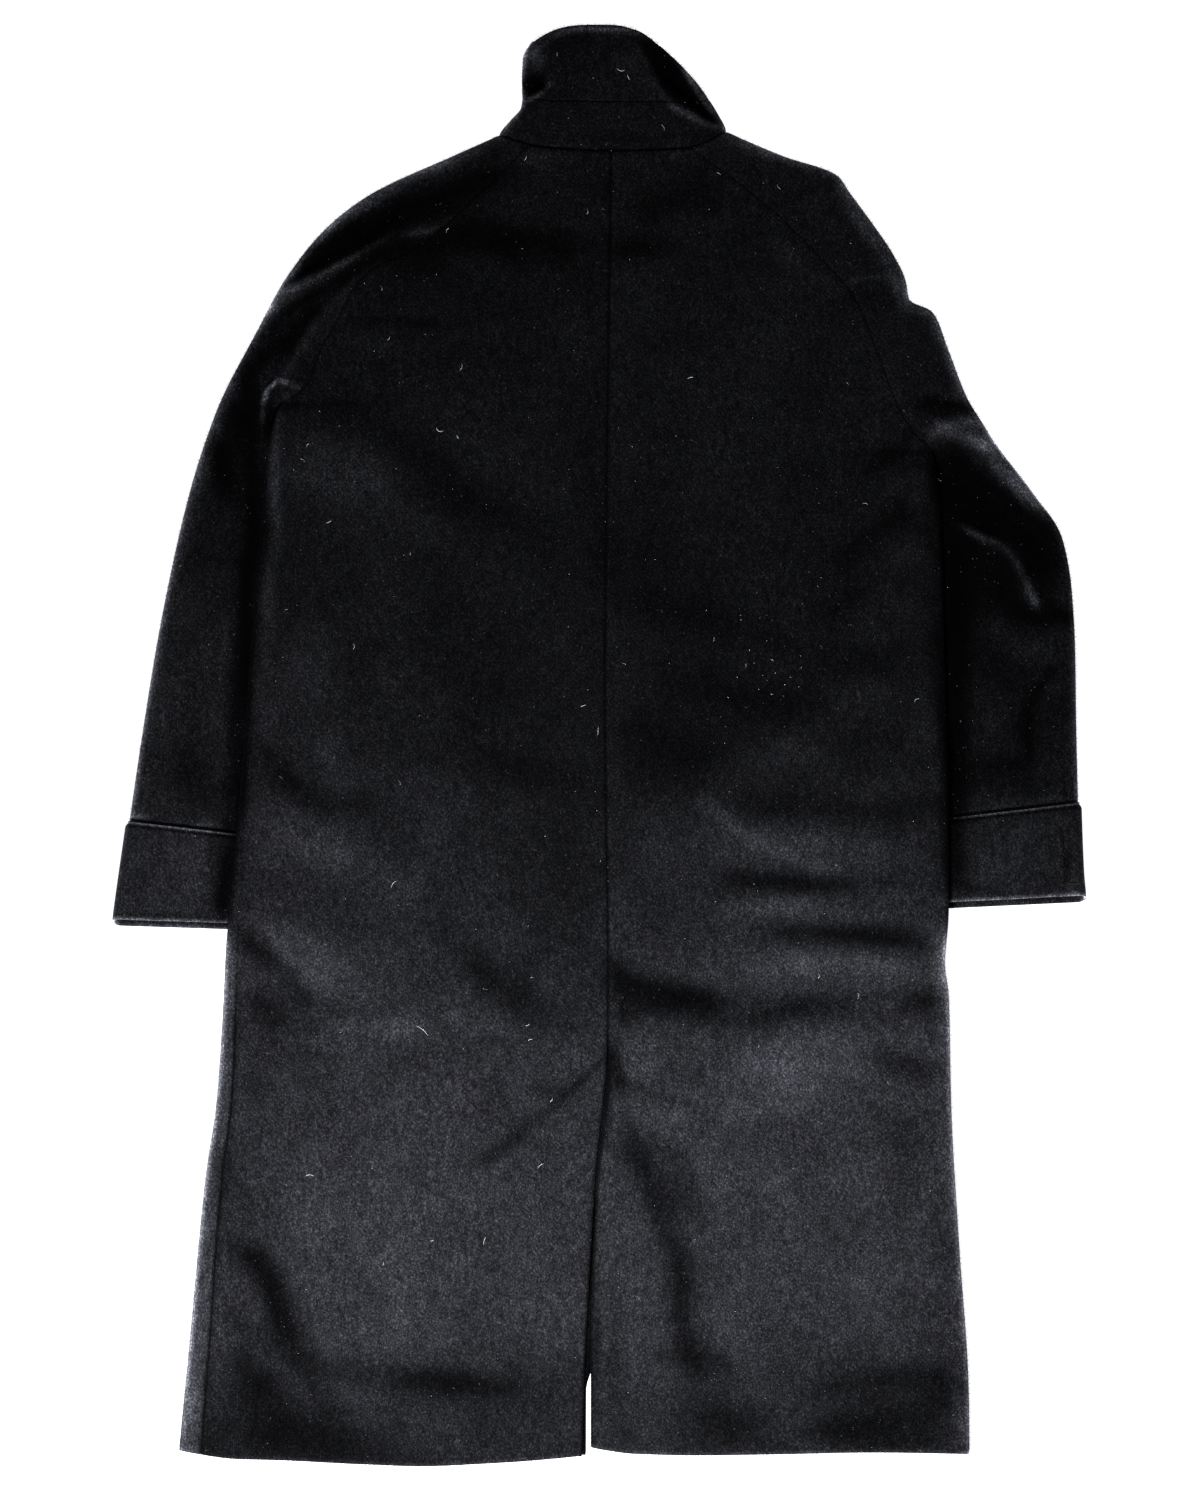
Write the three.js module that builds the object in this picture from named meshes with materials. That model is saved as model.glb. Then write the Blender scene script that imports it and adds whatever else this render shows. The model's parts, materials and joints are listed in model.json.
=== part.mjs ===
import * as THREE from 'three';

// Raglan overcoat laid flat on its front, back up, collar turned up.
// Millimetres, +Z up, neck towards +Y, wearer's left towards -X.

// Cloth and how it lies
const CLOTH = 2.5;
const SEAM_GAP = 0.3;
const LOFT = 2.8;
const LEAST_GAP = 0.9;
const LAYER = CLOTH + 0.5;
const OVERLAP_RISE = CLOTH + 0.9;
const REST_MID = CLOTH / 2;

// Whole coat
const HEM_Y = -600;
const CENTRE_X = -1;
const CENTRE_Y = 0.5;

// Buttons of the front, under the coat
const BUTTON_RADIUS = 11.5;
const BUTTON_THICK = 3.5;
const BUTTON_COUNT = 5;
const BUTTON_X = 8;
const BUTTON_TOP_Y = 395;
const BUTTON_STEP = 108;
const BUTTON_SIDES = 14;
const BUTTON_PROFILE = [[0, 0.6], [0.7, 0.6], [0.85, 0], [1, 0.3], [1, 0.75], [0.9, 1], [0, 1]];

// Cuff bands
const CUFF_LIP = 7;
const CUFF_REACH = 2;

// The cloth's middle lies this far inside the outline
const OUTLINE_INSET = 1.2;

// Rows and columns of the walls
const RAGLAN_ROWS = 8;
const SIDE_ROWS = 22;
const ARM_ROWS = 12;
const CUFF_ROWS = 2;
const BACK_RUN = 12;
const SLEEVE_RUN = 6;
const FRONT_SHARES = [0, 0.06, 0.13, 0.21, 0.3, 0.42, 0.56, 0.68, 0.76, 0.83, 0.9, 1];

const COLOURS = { wool: 0x35353a, horn: 0x1c1a19 };

function table(columns, ...rows) {
  return rows.map((row) => Object.fromEntries(columns.map((name, i) => [name, row[i]])));
}

// Smooth curve through a table's rows, level beyond both ends
function read(rows, key, column, at) {
  const last = rows.length - 1;
  const turn = rows[last][key] > rows[0][key] ? 1 : -1;
  if ((at - rows[0][key]) * turn <= 0) return rows[0][column];
  if ((at - rows[last][key]) * turn >= 0) return rows[last][column];
  let i = 0;
  while ((at - rows[i + 1][key]) * turn > 0) i += 1;
  const slope = (j) => (rows[j + 1][column] - rows[j][column]) / (rows[j + 1][key] - rows[j][key]);
  const tangent = (j) => {
    if (j === 0) return slope(0);
    if (j === last) return slope(last - 1);
    const [before, after] = [slope(j - 1), slope(j)];
    return before * after <= 0 ? 0 : (2 * before * after) / (before + after);
  };
  const span = rows[i + 1][key] - rows[i][key];
  const t = (at - rows[i][key]) / span;
  const [p0, p1] = [rows[i][column], rows[i + 1][column]];
  const [m0, m1] = [tangent(i) * span, tangent(i + 1) * span];
  return p0 * (1 + 2 * t) * (1 - t) ** 2 + m0 * t * (1 - t) ** 2
    + p1 * t * t * (3 - 2 * t) - m1 * t * t * (1 - t);
}

// A plan route through points, read by the share of its length
function route(points) {
  let length = 0;
  const marked = points.map((point, i) => {
    if (i > 0) length += Math.hypot(point.x - points[i - 1].x, point.y - points[i - 1].y);
    return { ...point, length };
  });
  return (share) => ({
    x: read(marked, 'length', 'x', share * length),
    y: read(marked, 'length', 'y', share * length),
  });
}

const mix = (a, b, t) => a + (b - a) * t;
const mixPoint = (a, b, t) => ({ x: mix(a.x, b.x, t), y: mix(a.y, b.y, t) });
const ease = (from, to, at) => {
  const t = Math.min(1, Math.max(0, (at - from) / (to - from)));
  return t * t * (3 - 2 * t);
};

// Seams and outlines in plan
const CENTRE_BACK = table(['y', 'x'],
  [506, 11], [294, 8.5], [39, 6], [-182, 8.5], [-230, 8.5]);
const VENT = table(['y', 'left', 'right'],
  [-230, 8.5, 8.5], [-255, 8, 9.2], [-275, 7, 10.2], [-292, 5.4, 8.8], [-326, 1.6, 4.6],
  [-360, -1.8, 1], [-411, -5.1, -2.5], [-462, -8, -4.8], [-530, -11.5, -6], [-602, -13.8, -6]);
const NECK_BACK = table(['x', 'y'],
  [-83, 518], [-66, 512.5], [-49, 508.3], [11, 505], [78, 507], [94, 512], [108, 521]);
const SIDE = {
  left: {
    sign: -1,
    backSeam: route(table(['x', 'y'],
      [-58, 510.3], [-96, 473], [-155, 422], [-190, 405], [-206, 389], [-224, 355], [-235, 337],
      [-243, 313], [-251, 302], [-266, 292])),
    frontSeam: route(table(['x', 'y'],
      [-72, 502], [-112, 462], [-165, 412], [-215, 360], [-266, 292])),
    shoulder: route(table(['x', 'y'],
      [-83, 518], [-124, 500], [-193, 468], [-231, 439], [-264, 398], [-292, 347], [-312, 310])),
    arm: route(table(['x', 'y'],
      [-312, 310], [-323, 286], [-344, 224], [-359, 163], [-375, 82], [-388, 0], [-398, -71],
      [-404, -112], [-409, -146])),
    edge: table(['y', 'x'],
      [292, -266], [286, -271], [240, -280], [182, -285], [-76, -304], [-184, -314], [-306, -323],
      [-367, -332], [-490, -344], [-602, -354.5]),
    armFold: table(['y', 'x'],
      [292, -266], [286, -273.9], [278, -276.9], [262, -279.6], [240, -283], [205, -280], [150, -272],
      [0, -264], [-150, -257]),
    ride: table(['y', 'lift'],
      [292, 0], [284, 2.5], [252, 8.4], [34, 8.4], [-50, 14.8], [-162, 14.8], [-200, 5], [-230, 0]),
    inset: table(['y', 'back'], [260, 0], [0, 3], [-173, 10], [-590, 19]),
    sleeveInset: table(['share', 'back'], [0, 0], [1, 0]),
    hem: table(['x', 'y'],
      [-355, 3], [-331, -1.5], [-309, -4.2], [-267, -5.5], [-203, -8.8], [-150, -10.5], [-97, -8.3],
      [-54, -5.5], [-17, -2]),
    armEndY: -149,
    cuff: { inner: 69, outer: 78 },
  },
  right: {
    sign: 1,
    backSeam: route(table(['x', 'y'],
      [78, 507], [94, 496], [122, 475], [150, 452], [175, 428], [194, 408], [210, 391], [224, 367],
      [235, 338], [245, 312], [255, 286], [269, 265], [283, 251])),
    frontSeam: route(table(['x', 'y'],
      [95, 501], [140, 455], [190, 395], [235, 330], [283, 251])),
    shoulder: route(table(['x', 'y'],
      [108, 521], [158, 500], [203, 484], [214, 469], [236, 439], [250, 418], [261, 395],
      [264, 379], [284, 368], [297, 337], [313, 296], [325, 276])),
    arm: route(table(['x', 'y'],
      [325, 276], [338, 255], [369, 214], [394, 176], [402, 133], [405, 80], [406, 0], [407, -51],
      [409, -105], [411, -126])),
    edge: table(['y', 'x'],
      [251, 283], [240, 285], [124, 291], [-135, 295], [-184, 293], [-214, 297], [-306, 299],
      [-428, 306], [-551, 314], [-602, 314.5]),
    armFold: table(['y', 'x'],
      [251, 283], [245, 286.4], [237, 287.6], [222, 289.6], [200, 290], [165, 286], [100, 278], [0, 270],
      [-131, 262]),
    ride: table(['y', 'lift'],
      [251, 0], [243, 2.5], [212, 8.4], [34, 8.4], [-32, 14.8], [-144, 14.8], [-182, 5], [-212, 0]),
    inset: table(['y', 'back'], [251, 0], [-600, 0]),
    sleeveInset: table(['share', 'back'], [0, 0], [0.3, 0], [0.5, 12], [1, 14]),
    hem: table(['x', 'y'], [-6, 5.5], [10, 2.5], [30, 0], [78, -1.2], [155, -0.3], [231, 1.2], [315, 0]),
    armEndY: -131,
    cuff: { inner: 66, outer: 70 },
  },
};

// Front edges: the left front lies over the right one, below it when the coat is face down
const FRONT_EDGE = table(['y', 'left', 'right'],
  [-150, 30, -15], [-330, 12, -10], [-440, 2, 2.5], [-520, -3, 0], [-532, -6.5, -1], [-545, -10.2, -2],
  [-600, -10.5, -4]);

// Where the layers above rise over the fronts' overlap, the buttons and a sleeve
const OVERLAP = { left: -20, right: 33, ramp: 75, low: -490, lowFull: -440, highFull: 455, high: 500 };
const OVER_BUTTONS = { flat: 20, out: 95, low: -130, lowFull: -70, highFull: 412, high: 440 };
const RIDE_RAMP = 85;
const RIDE_LEAD = 22;

// Main folds of the upper layer: soft ridges and troughs along a line
const FOLDS = table(['x0', 'y0', 'x1', 'y1', 'width', 'height'],
  // across the skirt, right half
  [87, -71, 257, -88, 20, 2.6], [112, -105, 223, -118, 13, -2], [155, -152, 270, -165, 12, -1.8],
  [214, -173, 280, -190, 11, 2.2], [19, -203, 104, -216, 13, -1.8], [138, -216, 270, -220, 11, -2],
  [121, -250, 197, -284, 20, 2.8], [19, -309, 87, -539, 17, -1.6], [100, -380, 150, -560, 30, 1.6],
  [287, -562, 306, -532, 14, -1.6], [180, -579, 287, -562, 12, -1.6], [252, -220, 293, -208, 9, -1.4],
  [233, -260, 287, -278, 12, -1.2],
  // across the skirt, left half
  [-290, -150, -236, -224, 13, -2], [-230, -180, -120, -250, 22, 1.8], [-296, -420, -253, -505, 13, -1.8],
  [-310, -564, -211, -564, 12, -1.3], [-168, -543, -83, -543, 12, -1.3], [4, -275, -58, -318, 9, -1.8],
  [-200, -330, -150, -520, 32, 1.6], [-276, -20, -234, -49, 11, -1.3], [-234, -49, -189, -45, 12, -1],
  [-114, -177, -56, -219, 15, -1.2], [-56, -219, 0, -243, 16, -0.8],
  // upper back
  [-191, 358, -150, 352, 10, -2], [-118, 444, -44, 418, 15, -1.8], [-180, 300, -120, 120, 34, 1.5],
  [150, 330, 190, 120, 34, 1.2], [-233, 303, -157, 258, 18, -1], [-157, 258, -101, 201, 20, -1],
  [286, 220, 230, 197, 12, -1.2], [230, 197, 207, 163, 12, -1],
  // left sleeve
  [-269, 381, -207, 411, 10, 4], [-207, 411, -163, 440, 10, 4.2], [-268, 318, -246, 348, 8, 3.2],
  [-246, 348, -207, 391, 8, 3.4], [-261, 389, -212, 445, 10, -2], [-212, 445, -161, 469, 10, -2],
  [-161, 469, -84, 486, 10, -2], [-262, 362, -283, 302, 8, -2], [-283, 302, -312, 170, 9, -1.8],
  [-330, 190, -352, 60, 12, 1.2],
  // right sleeve
  [207, 393, 256, 384, 8, -2], [269, 296, 312, 280, 8, -2], [290, 266, 320, 262, 9, 3.6],
  [320, 262, 358, 224, 10, 4], [358, 224, 388, 186, 10, 3.6], [318, 215, 372, 150, 18, -1.8],
  [324, 180, 355, 152, 8, 1.8], [355, 152, 372, 113, 8, 1.8], [377, 62, 361, -7, 7, -1.8],
  [361, -7, 367, -29, 7, -1.6], [384, 118, 402, 108, 9, -1.5],
  // collar turned up
  [-64, 527, -42, 558, 8, 3], [88, 531, 52, 562, 8, 3.2], [-42, 558, -30, 596, 10, 1.6],
  [52, 562, 30, 594, 10, 1.6], [-62, 556, -47, 564, 7, -1.8], [42, 590, 66, 562, 8, -1.8],
  [66, 562, 96, 534, 7, -1.8]);

function foldHeight(x, y) {
  let height = 0;
  for (const fold of FOLDS) {
    const [dx, dy] = [fold.x1 - fold.x0, fold.y1 - fold.y0];
    const along = ((x - fold.x0) * dx + (y - fold.y0) * dy) / (dx * dx + dy * dy);
    const on = Math.min(1, Math.max(0, along));
    const away = Math.hypot(x - fold.x0 - on * dx, y - fold.y0 - on * dy) / fold.width;
    height += fold.height * Math.exp(-away * away);
  }
  return Math.max(LEAST_GAP - LOFT, height);
}

// How far a sleeve under the body's side lifts it
function sideRide(side, x, y) {
  const fold = read(side.armFold, 'y', 'x', y) * side.sign;
  const lift = read(side.ride, 'y', 'lift', y);
  return lift * ease(fold - RIDE_LEAD - RIDE_RAMP, fold - RIDE_LEAD, x * side.sign);
}

function buttonRide(x, y) {
  const { flat, out, low, lowFull, highFull, high } = OVER_BUTTONS;
  const across = 1 - ease(flat, out, Math.abs(x - BUTTON_X));
  const along = ease(low, lowFull, y) * (1 - ease(highFull, high, y));
  return (BUTTON_THICK + SEAM_GAP) * across * along;
}

// Extra height where both fronts lie on each other
function overlapRide(x, y) {
  const { left, right, ramp, low, lowFull, highFull, high } = OVERLAP;
  const across = ease(left - ramp, left, x) * (1 - ease(right, right + ramp, x));
  return OVERLAP_RISE * across * ease(low, lowFull, y) * (1 - ease(highFull, high, y));
}

const bodyRide = (x, y) => sideRide(SIDE.left, x, y) + sideRide(SIDE.right, x, y) + buttonRide(x, y);
const leftFrontMid = (x, y) => REST_MID + bodyRide(x, y);
const rightFrontMid = (x, y) => leftFrontMid(x, y) + overlapRide(x, y);
const backMid = (x, y) => rightFrontMid(x, y) + CLOTH + LOFT + foldHeight(x, y);

// A point near a fold line: turn is the way along the cloth from the fold's tip, under side positive
function foldPoint(row, end, turn) {
  const top = turn < 0;
  const from = top ? end.top : end.under;
  const to = top ? end.topInner : end.underInner;
  const length = Math.hypot(to.x - from.x, to.y - from.y);
  const at = (depth) => mixPoint(from, to, depth / length);
  const flat = at(Math.abs(turn));
  const flatMid = top ? row.upper : row.lower;
  const flatPoint = row.place(flat.x, flat.y, flatMid, top);
  if (end.round === 0) return flatPoint;
  const tip = row.place(end.top.x, end.top.y, row.upper, true);
  const low = row.place(end.under.x, end.under.y, row.lower, false);
  const radius = (tip.z - low.z) / 2;
  const quarter = (Math.PI / 2) * radius;
  let round;
  if (Math.abs(turn) <= quarter) {
    const angle = turn / radius;
    const plan = at(radius * (1 - Math.cos(angle)));
    round = row.place(plan.x, plan.y, flatMid, top);
    round.z = (tip.z + low.z) / 2 - radius * Math.sin(angle);
  } else {
    const plan = at(radius + Math.abs(turn) - quarter);
    round = row.place(plan.x, plan.y, flatMid, top);
  }
  return flatPoint.lerp(round, end.round);
}

const PLAIN_STEPS = [-8, -4, -2, 0];
const WRAP_STEPS = [-11, -5, -2.5, 0, 2.5, 5, 10];
const PACKED_STEP = 0.35;
const RUN_MARGIN = 6;
const FULL_ROW = 70;

// Below the underarm the seams turn into round folds over this way
const ROUND_LEAD = 1;
const ROUND_RUN = 42;
const roundness = (underarm, y) => ease(underarm + ROUND_LEAD, underarm - ROUND_RUN, y);

// Rows bend to the neck above the first height and to the hem below the second
const NECK_BEND = 80;
const HEM_BEND_Y = -470;

// Columns of one row of a panel: fold zone of end a, plain run, fold zone of end b
function panelRow(row, side, columns) {
  const sideSign = side === 'top' ? 1 : -1;
  const ends = [row.a, row.b].map((end) => {
    const edge = side === 'top' ? end.top : end.under;
    const inner = side === 'top' ? end.topInner : end.underInner;
    const reach = sideSign * end.split - SEAM_GAP / 2;
    const length = Math.hypot(edge.x - inner.x, edge.y - inner.y);
    const scale = Math.min(1, length / FULL_ROW);
    const steps = (end.wraps === side ? WRAP_STEPS : PLAIN_STEPS).map((step, i, all) => (
      i === all.length - 1 ? reach : Math.min(step * scale, reach - (all.length - 1 - i) * PACKED_STEP)));
    const clear = end.plain ? SEAM_GAP / 2 : Math.max(-steps[0], -reach) + RUN_MARGIN * scale;
    return { end, steps, clear, edge };
  });
  const mid = side === 'top' ? row.upper : row.lower;
  const [a, b] = ends;
  const length = Math.hypot(a.edge.x - b.edge.x, a.edge.y - b.edge.y);
  const points = [];
  const stepsIn = a.end.plain ? [] : a.steps.slice().reverse();
  for (const step of stepsIn) points.push(foldPoint(row, a.end, step * sideSign));
  for (const share of columns) {
    const away = mix(a.clear, length - b.clear, share);
    const plan = mixPoint(a.edge, b.edge, away / length);
    points.push(row.place(plan.x, plan.y, mid, side === 'top'));
  }
  if (!b.end.plain) b.steps.forEach((s) => points.push(foldPoint(row, b.end, s * sideSign)));
  const last = points.length - 1;
  points[0].facing = a.end.plain ? null : edgeFacing(row, a, sideSign);
  points[last].facing = edgeFacing(row, b, sideSign);
  return points;
}

// The way along the cloth where it ends at a fold's seam, so that both walls end in one plane
function edgeFacing(row, { end, steps }, sideSign) {
  const reach = steps[steps.length - 1];
  const rounded = { ...end, round: 1 };
  const before = foldPoint(row, rounded, (reach - PACKED_STEP) * sideSign);
  const after = foldPoint(row, rounded, (reach + PACKED_STEP) * sideSign);
  return { along: after.sub(before).normalize(), round: end.round };
}

const even = (count) => Array.from({ length: count + 1 }, (_, i) => i / count);

function placeAt(warp) {
  return (x, y, mid, top) => {
    const moved = y + warp(x, y, top);
    return new THREE.Vector3(x, moved, mid(x, moved));
  };
}

// Body panels
function bodyRows(name, top) {
  const side = SIDE[name];
  const seam = top ? side.backSeam : side.frontSeam;
  const underarm = seam(1).y;
  const neckTop = seam(0);
  const rows = [];
  const neck = (x) => {
    const within = side.sign * Math.min(side.sign * x, side.sign * neckTop.x);
    return top ? read(NECK_BACK, 'x', 'y', within) : frontNeck(within);
  };
  const warp = (x, y) => (neck(x) - neckTop.y) * ease(underarm + NECK_BEND, neckTop.y, y)
    + read(side.hem, 'x', 'y', x) * ease(HEM_BEND_Y, HEM_Y, y);
  const lower = name === 'left' ? leftFrontMid : rightFrontMid;
  const makeRow = (edge, y, round) => {
    const centre = { x: top ? centreBack(name, y) : frontEdge(name, y), y };
    const split = -read(side.inset, 'y', 'back', y);
    return {
      upper: backMid,
      lower,
      place: placeAt(warp),
      a: { top: centre, under: centre, topInner: edge, underInner: edge, round: 0, plain: true, split: 0 },
      b: {
        top: edge, under: edge, topInner: centre, underInner: centre, round, split,
        wraps: name === 'left' ? 'under' : 'none',
      },
    };
  };
  for (let i = 0; i < RAGLAN_ROWS; i += 1) {
    const point = seam(i / RAGLAN_ROWS);
    rows.push(makeRow(point, point.y, 0));
  }
  for (let i = 0; i <= SIDE_ROWS; i += 1) {
    const y = mix(underarm, HEM_Y, (i / SIDE_ROWS) ** 1.06);
    const edge = { x: read(side.edge, 'y', 'x', y), y };
    rows.push(makeRow(edge, y, roundness(underarm, y)));
  }
  return rows;
}

function centreBack(name, y) {
  if (y > VENT[0].y) return read(CENTRE_BACK, 'y', 'x', y);
  return read(VENT, 'y', name, y);
}

function frontEdge(name, y) {
  return read(FRONT_EDGE, 'y', name, y);
}

const FRONT_NECK = { x: 12, y: 445, half: 95.5, rise: 74 };

function frontNeck(x) {
  return FRONT_NECK.y + FRONT_NECK.rise * ((x - FRONT_NECK.x) / FRONT_NECK.half) ** 2;
}

// Sleeves: flattened tubes from the raglan seams to the cuffs, raised towards the cuff inside its band
const SLEEVE_RISE = { from: 0.62, to: 0.8 };
const TUCK = { near: 2, far: 18, run: 30 };

function sleeveRows(name, { grow = 0, from = 0, to = 1, count = ARM_ROWS, slant = 0 } = {}) {
  const side = SIDE[name];
  const place = placeAt(() => 0);
  const rows = [];
  const neckPlace = placeAt((x, y, top) => (top ? read(NECK_BACK, 'x', 'y', x) : frontNeck(x)) - y);
  const makeRow = (top, under, outer, round, share) => {
    const rise = share > 0 ? LAYER * ease(SLEEVE_RISE.from, SLEEVE_RISE.to, share) : 0;
    const lower = () => REST_MID + rise - grow;
    const above = CLOTH + LOFT + grow;
    const upper = (x, y) => REST_MID + rise + above + foldHeight(x, y) * (1 - underBody(side, x, y));
    const length = Math.hypot(outer.x - top.x, outer.y - top.y);
    const inner = mixPoint(top, outer, -grow / length);
    const innerUnder = mixPoint(under, outer, -grow / length);
    const tip = mixPoint(outer, top, (OUTLINE_INSET - grow) / length);
    const split = grow > 0 ? 0 : -read(side.sleeveInset, 'share', 'back', share);
    return {
      upper,
      lower,
      place: outer.y === side.shoulder(0).y ? neckPlace : place,
      a: { top: inner, under: innerUnder, topInner: tip, underInner: tip, round, split: 0, wraps: 'none' },
      b: {
        top: tip, under: tip, topInner: inner, underInner: innerUnder, round: 1, split,
        wraps: name === 'right' && grow === 0 ? 'under' : 'none',
      },
    };
  };
  if (from === 0) {
    for (let i = 0; i < RAGLAN_ROWS; i += 1) {
      const share = i / RAGLAN_ROWS;
      rows.push(makeRow(side.backSeam(share), side.frontSeam(share), side.shoulder(share), 0, 0));
    }
  }
  const underarm = side.backSeam(1).y;
  for (let i = 0; i <= count; i += 1) {
    const share = mix(from, to, i / count);
    const y = mix(underarm, side.armEndY, share);
    const inner = { x: read(side.armFold, 'y', 'x', y), y };
    const round = roundness(underarm, y);
    const outerShare = share - slant * (1 - i / count);
    rows.push(makeRow(inner, inner, side.arm(outerShare), from === 0 ? round : 1, share));
  }
  return rows;
}

// 1 where the body lies on the sleeve, so that the sleeve stays flat there
function underBody(side, x, y) {
  const edge = read(side.edge, 'y', 'x', y) * side.sign;
  const below = side.edge[0].y;
  const across = 1 - ease(edge + TUCK.near, edge + TUCK.far, x * side.sign);
  return across * ease(below, below - TUCK.run, y);
}

// Collar: an open flattened tube, stand and leaf in one surface
const COLLAR_SIDES = table(['v', 'left', 'right'],
  [0, -83, 108], [0.15, -73.5, 103], [0.3, -64, 97], [0.42, -63, 91.5], [0.6, -63.4, 82.5],
  [0.85, -62.5, 66.5], [1, -56.5, 54.5]);
const COLLAR_TOP_Y = 611;
const COLLAR_UNDER_Y = 552;
const COLLAR_CORNER = { left: 595, right: 590 };
const STAND_SHARE = 0.39;
const COLLAR_SPLIT = 0.002;
const COLLAR_GAP_X = 12;
const COLLAR_SEAM = 0.6;

function collarPoint(v, u, top) {
  const side = u < 0 ? 'left' : 'right';
  const x = mix(read(COLLAR_SIDES, 'v', 'left', v), read(COLLAR_SIDES, 'v', 'right', v), (u + 1) / 2);
  const neckX = mix(COLLAR_SIDES[0].left, COLLAR_SIDES[0].right, (u + 1) / 2);
  const corner = COLLAR_CORNER[side];
  const neckY = (top ? read(NECK_BACK, 'x', 'y', neckX) : frontNeck(neckX)) + COLLAR_SEAM;
  const freeY = top
    ? COLLAR_TOP_Y - (COLLAR_TOP_Y - corner) * Math.abs(u) ** 3
    : COLLAR_UNDER_Y + (corner - COLLAR_UNDER_Y) * u * u;
  return { x, y: mix(neckY, freeY, v) };
}

function collarRow(v) {
  const points = [];
  const runTop = 9;
  const runUnder = 4;
  const tip = 0.13;
  const turns = [-90, -45, 0, 45, 90].map((angle) => (angle * Math.PI) / 180);
  const point = (u, top) => {
    const plan = collarPoint(v, u, top);
    return new THREE.Vector3(plan.x, plan.y, top ? backMid(plan.x, plan.y) : REST_MID);
  };
  const arc = (sign) => {
    const high = point(sign, true);
    const low = point(sign, false);
    const inward = point(sign * (1 - tip), true);
    const radius = (high.z - low.z) / 2;
    const centre = mix(high.z, low.z, 0.5);
    return turns.map((angle) => new THREE.Vector3(
      high.x - sign * radius * (1 - Math.cos(angle)),
      mix(high.y, inward.y, (radius * (1 - Math.cos(angle))) / Math.abs(high.x - inward.x)),
      centre - radius * Math.sin(angle)));
  };
  const middle = (COLLAR_GAP_X - read(COLLAR_SIDES, 'v', 'left', v))
    / (read(COLLAR_SIDES, 'v', 'right', v) - read(COLLAR_SIDES, 'v', 'left', v)) * 2 - 1;
  const slit = 0.02;
  const underPoint = (from, to, i) => point(mix(from, to, i / runUnder), false);
  for (let i = 0; i <= runUnder; i += 1) points.push(underPoint(middle - slit, -1 + tip, i));
  points.push(...arc(-1).reverse());
  for (let i = 0; i <= runTop; i += 1) points.push(point(mix(-1 + tip, 1 - tip, i / runTop), true));
  points.push(...arc(1));
  for (let i = 0; i <= runUnder; i += 1) points.push(underPoint(1 - tip, middle + slit, i));
  return points;
}

// Closed wall of cloth around a grid of middle points
function wall(grid, options = {}) {
  const { closed = false, under = false, seamColumns = () => false, seamRows = () => false } = options;
  const outward = under ? -1 : 1;
  const rows = grid.length;
  const columns = grid[0].length;
  const column = (j) => (closed ? (j + columns) % columns : Math.min(columns - 1, Math.max(0, j)));
  const rowAt = (i) => Math.min(rows - 1, Math.max(0, i));
  const outer = [];
  const inner = [];
  for (let i = 0; i < rows; i += 1) {
    for (let j = 0; j < columns; j += 1) {
      const across = grid[i][column(j + 1)].clone().sub(grid[i][column(j - 1)]);
      const down = grid[rowAt(i + 1)][j].clone().sub(grid[rowAt(i - 1)][j]);
      const normal = down.clone().cross(across).normalize();
      const facing = grid[i][j].facing;
      if (facing) {
        const turned = down.cross(facing.along).normalize();
        if (turned.dot(normal) < 0) turned.negate();
        normal.set(0, 0, Math.sign(normal.z)).lerp(turned, facing.round).normalize();
      }
      if (seamRows(i)) normal.setY(0).normalize();
      if (seamRows(i) && facing?.round === 1) normal.set(Math.sign(normal.x), 0, 0);
      if (seamColumns(j)) normal.set(0, 0, Math.sign(normal.z));
      outer.push(grid[i][j].clone().addScaledVector(normal, (outward * CLOTH) / 2));
      inner.push(grid[i][j].clone().addScaledVector(normal, (-outward * CLOTH) / 2));
    }
  }
  const positions = [...outer, ...inner].flatMap((point) => [point.x, point.y, Math.max(0, point.z)]);
  const shift = rows * columns;
  const index = [];
  const quad = (a, b, c, d) => index.push(a, b, c, a, c, d);
  const id = (i, j) => i * columns + column(j);
  const lastColumn = closed ? columns : columns - 1;
  for (let i = 0; i + 1 < rows; i += 1) {
    for (let j = 0; j < lastColumn; j += 1) {
      quad(id(i, j), id(i + 1, j), id(i + 1, j + 1), id(i, j + 1));
      quad(id(i, j) + shift, id(i, j + 1) + shift, id(i + 1, j + 1) + shift, id(i + 1, j) + shift);
    }
    if (!closed) {
      quad(id(i, 0), id(i, 0) + shift, id(i + 1, 0) + shift, id(i + 1, 0));
      const end = columns - 1;
      quad(id(i, end), id(i + 1, end), id(i + 1, end) + shift, id(i, end) + shift);
    }
  }
  for (let j = 0; j < lastColumn; j += 1) {
    quad(id(0, j), id(0, j + 1), id(0, j + 1) + shift, id(0, j) + shift);
    const end = rows - 1;
    quad(id(end, j), id(end, j) + shift, id(end, j + 1) + shift, id(end, j + 1));
  }
  const geometry = new THREE.BufferGeometry();
  geometry.setAttribute('position', new THREE.Float32BufferAttribute(positions, 3));
  geometry.setIndex(index);
  if (volume(geometry) < 0) index.reverse();
  geometry.setIndex(index);
  geometry.computeVertexNormals();
  return geometry;
}

function volume(geometry) {
  const position = geometry.getAttribute('position');
  const index = geometry.getIndex();
  const corner = (k) => new THREE.Vector3().fromBufferAttribute(position, index.getX(k));
  let sum = 0;
  for (let k = 0; k < index.count; k += 3) {
    sum += corner(k).dot(corner(k + 1).cross(corner(k + 2))) / 6;
  }
  return sum;
}

const group = new THREE.Group();
group.position.set(CENTRE_X, CENTRE_Y, 0);

function addPiece(name, geometry, colour = COLOURS.wool, roughness = 0.95) {
  const material = new THREE.MeshStandardMaterial({ color: colour, roughness, metalness: 0 });
  const mesh = new THREE.Mesh(geometry, material);
  mesh.name = name;
  group.add(mesh);
  return mesh;
}

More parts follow.
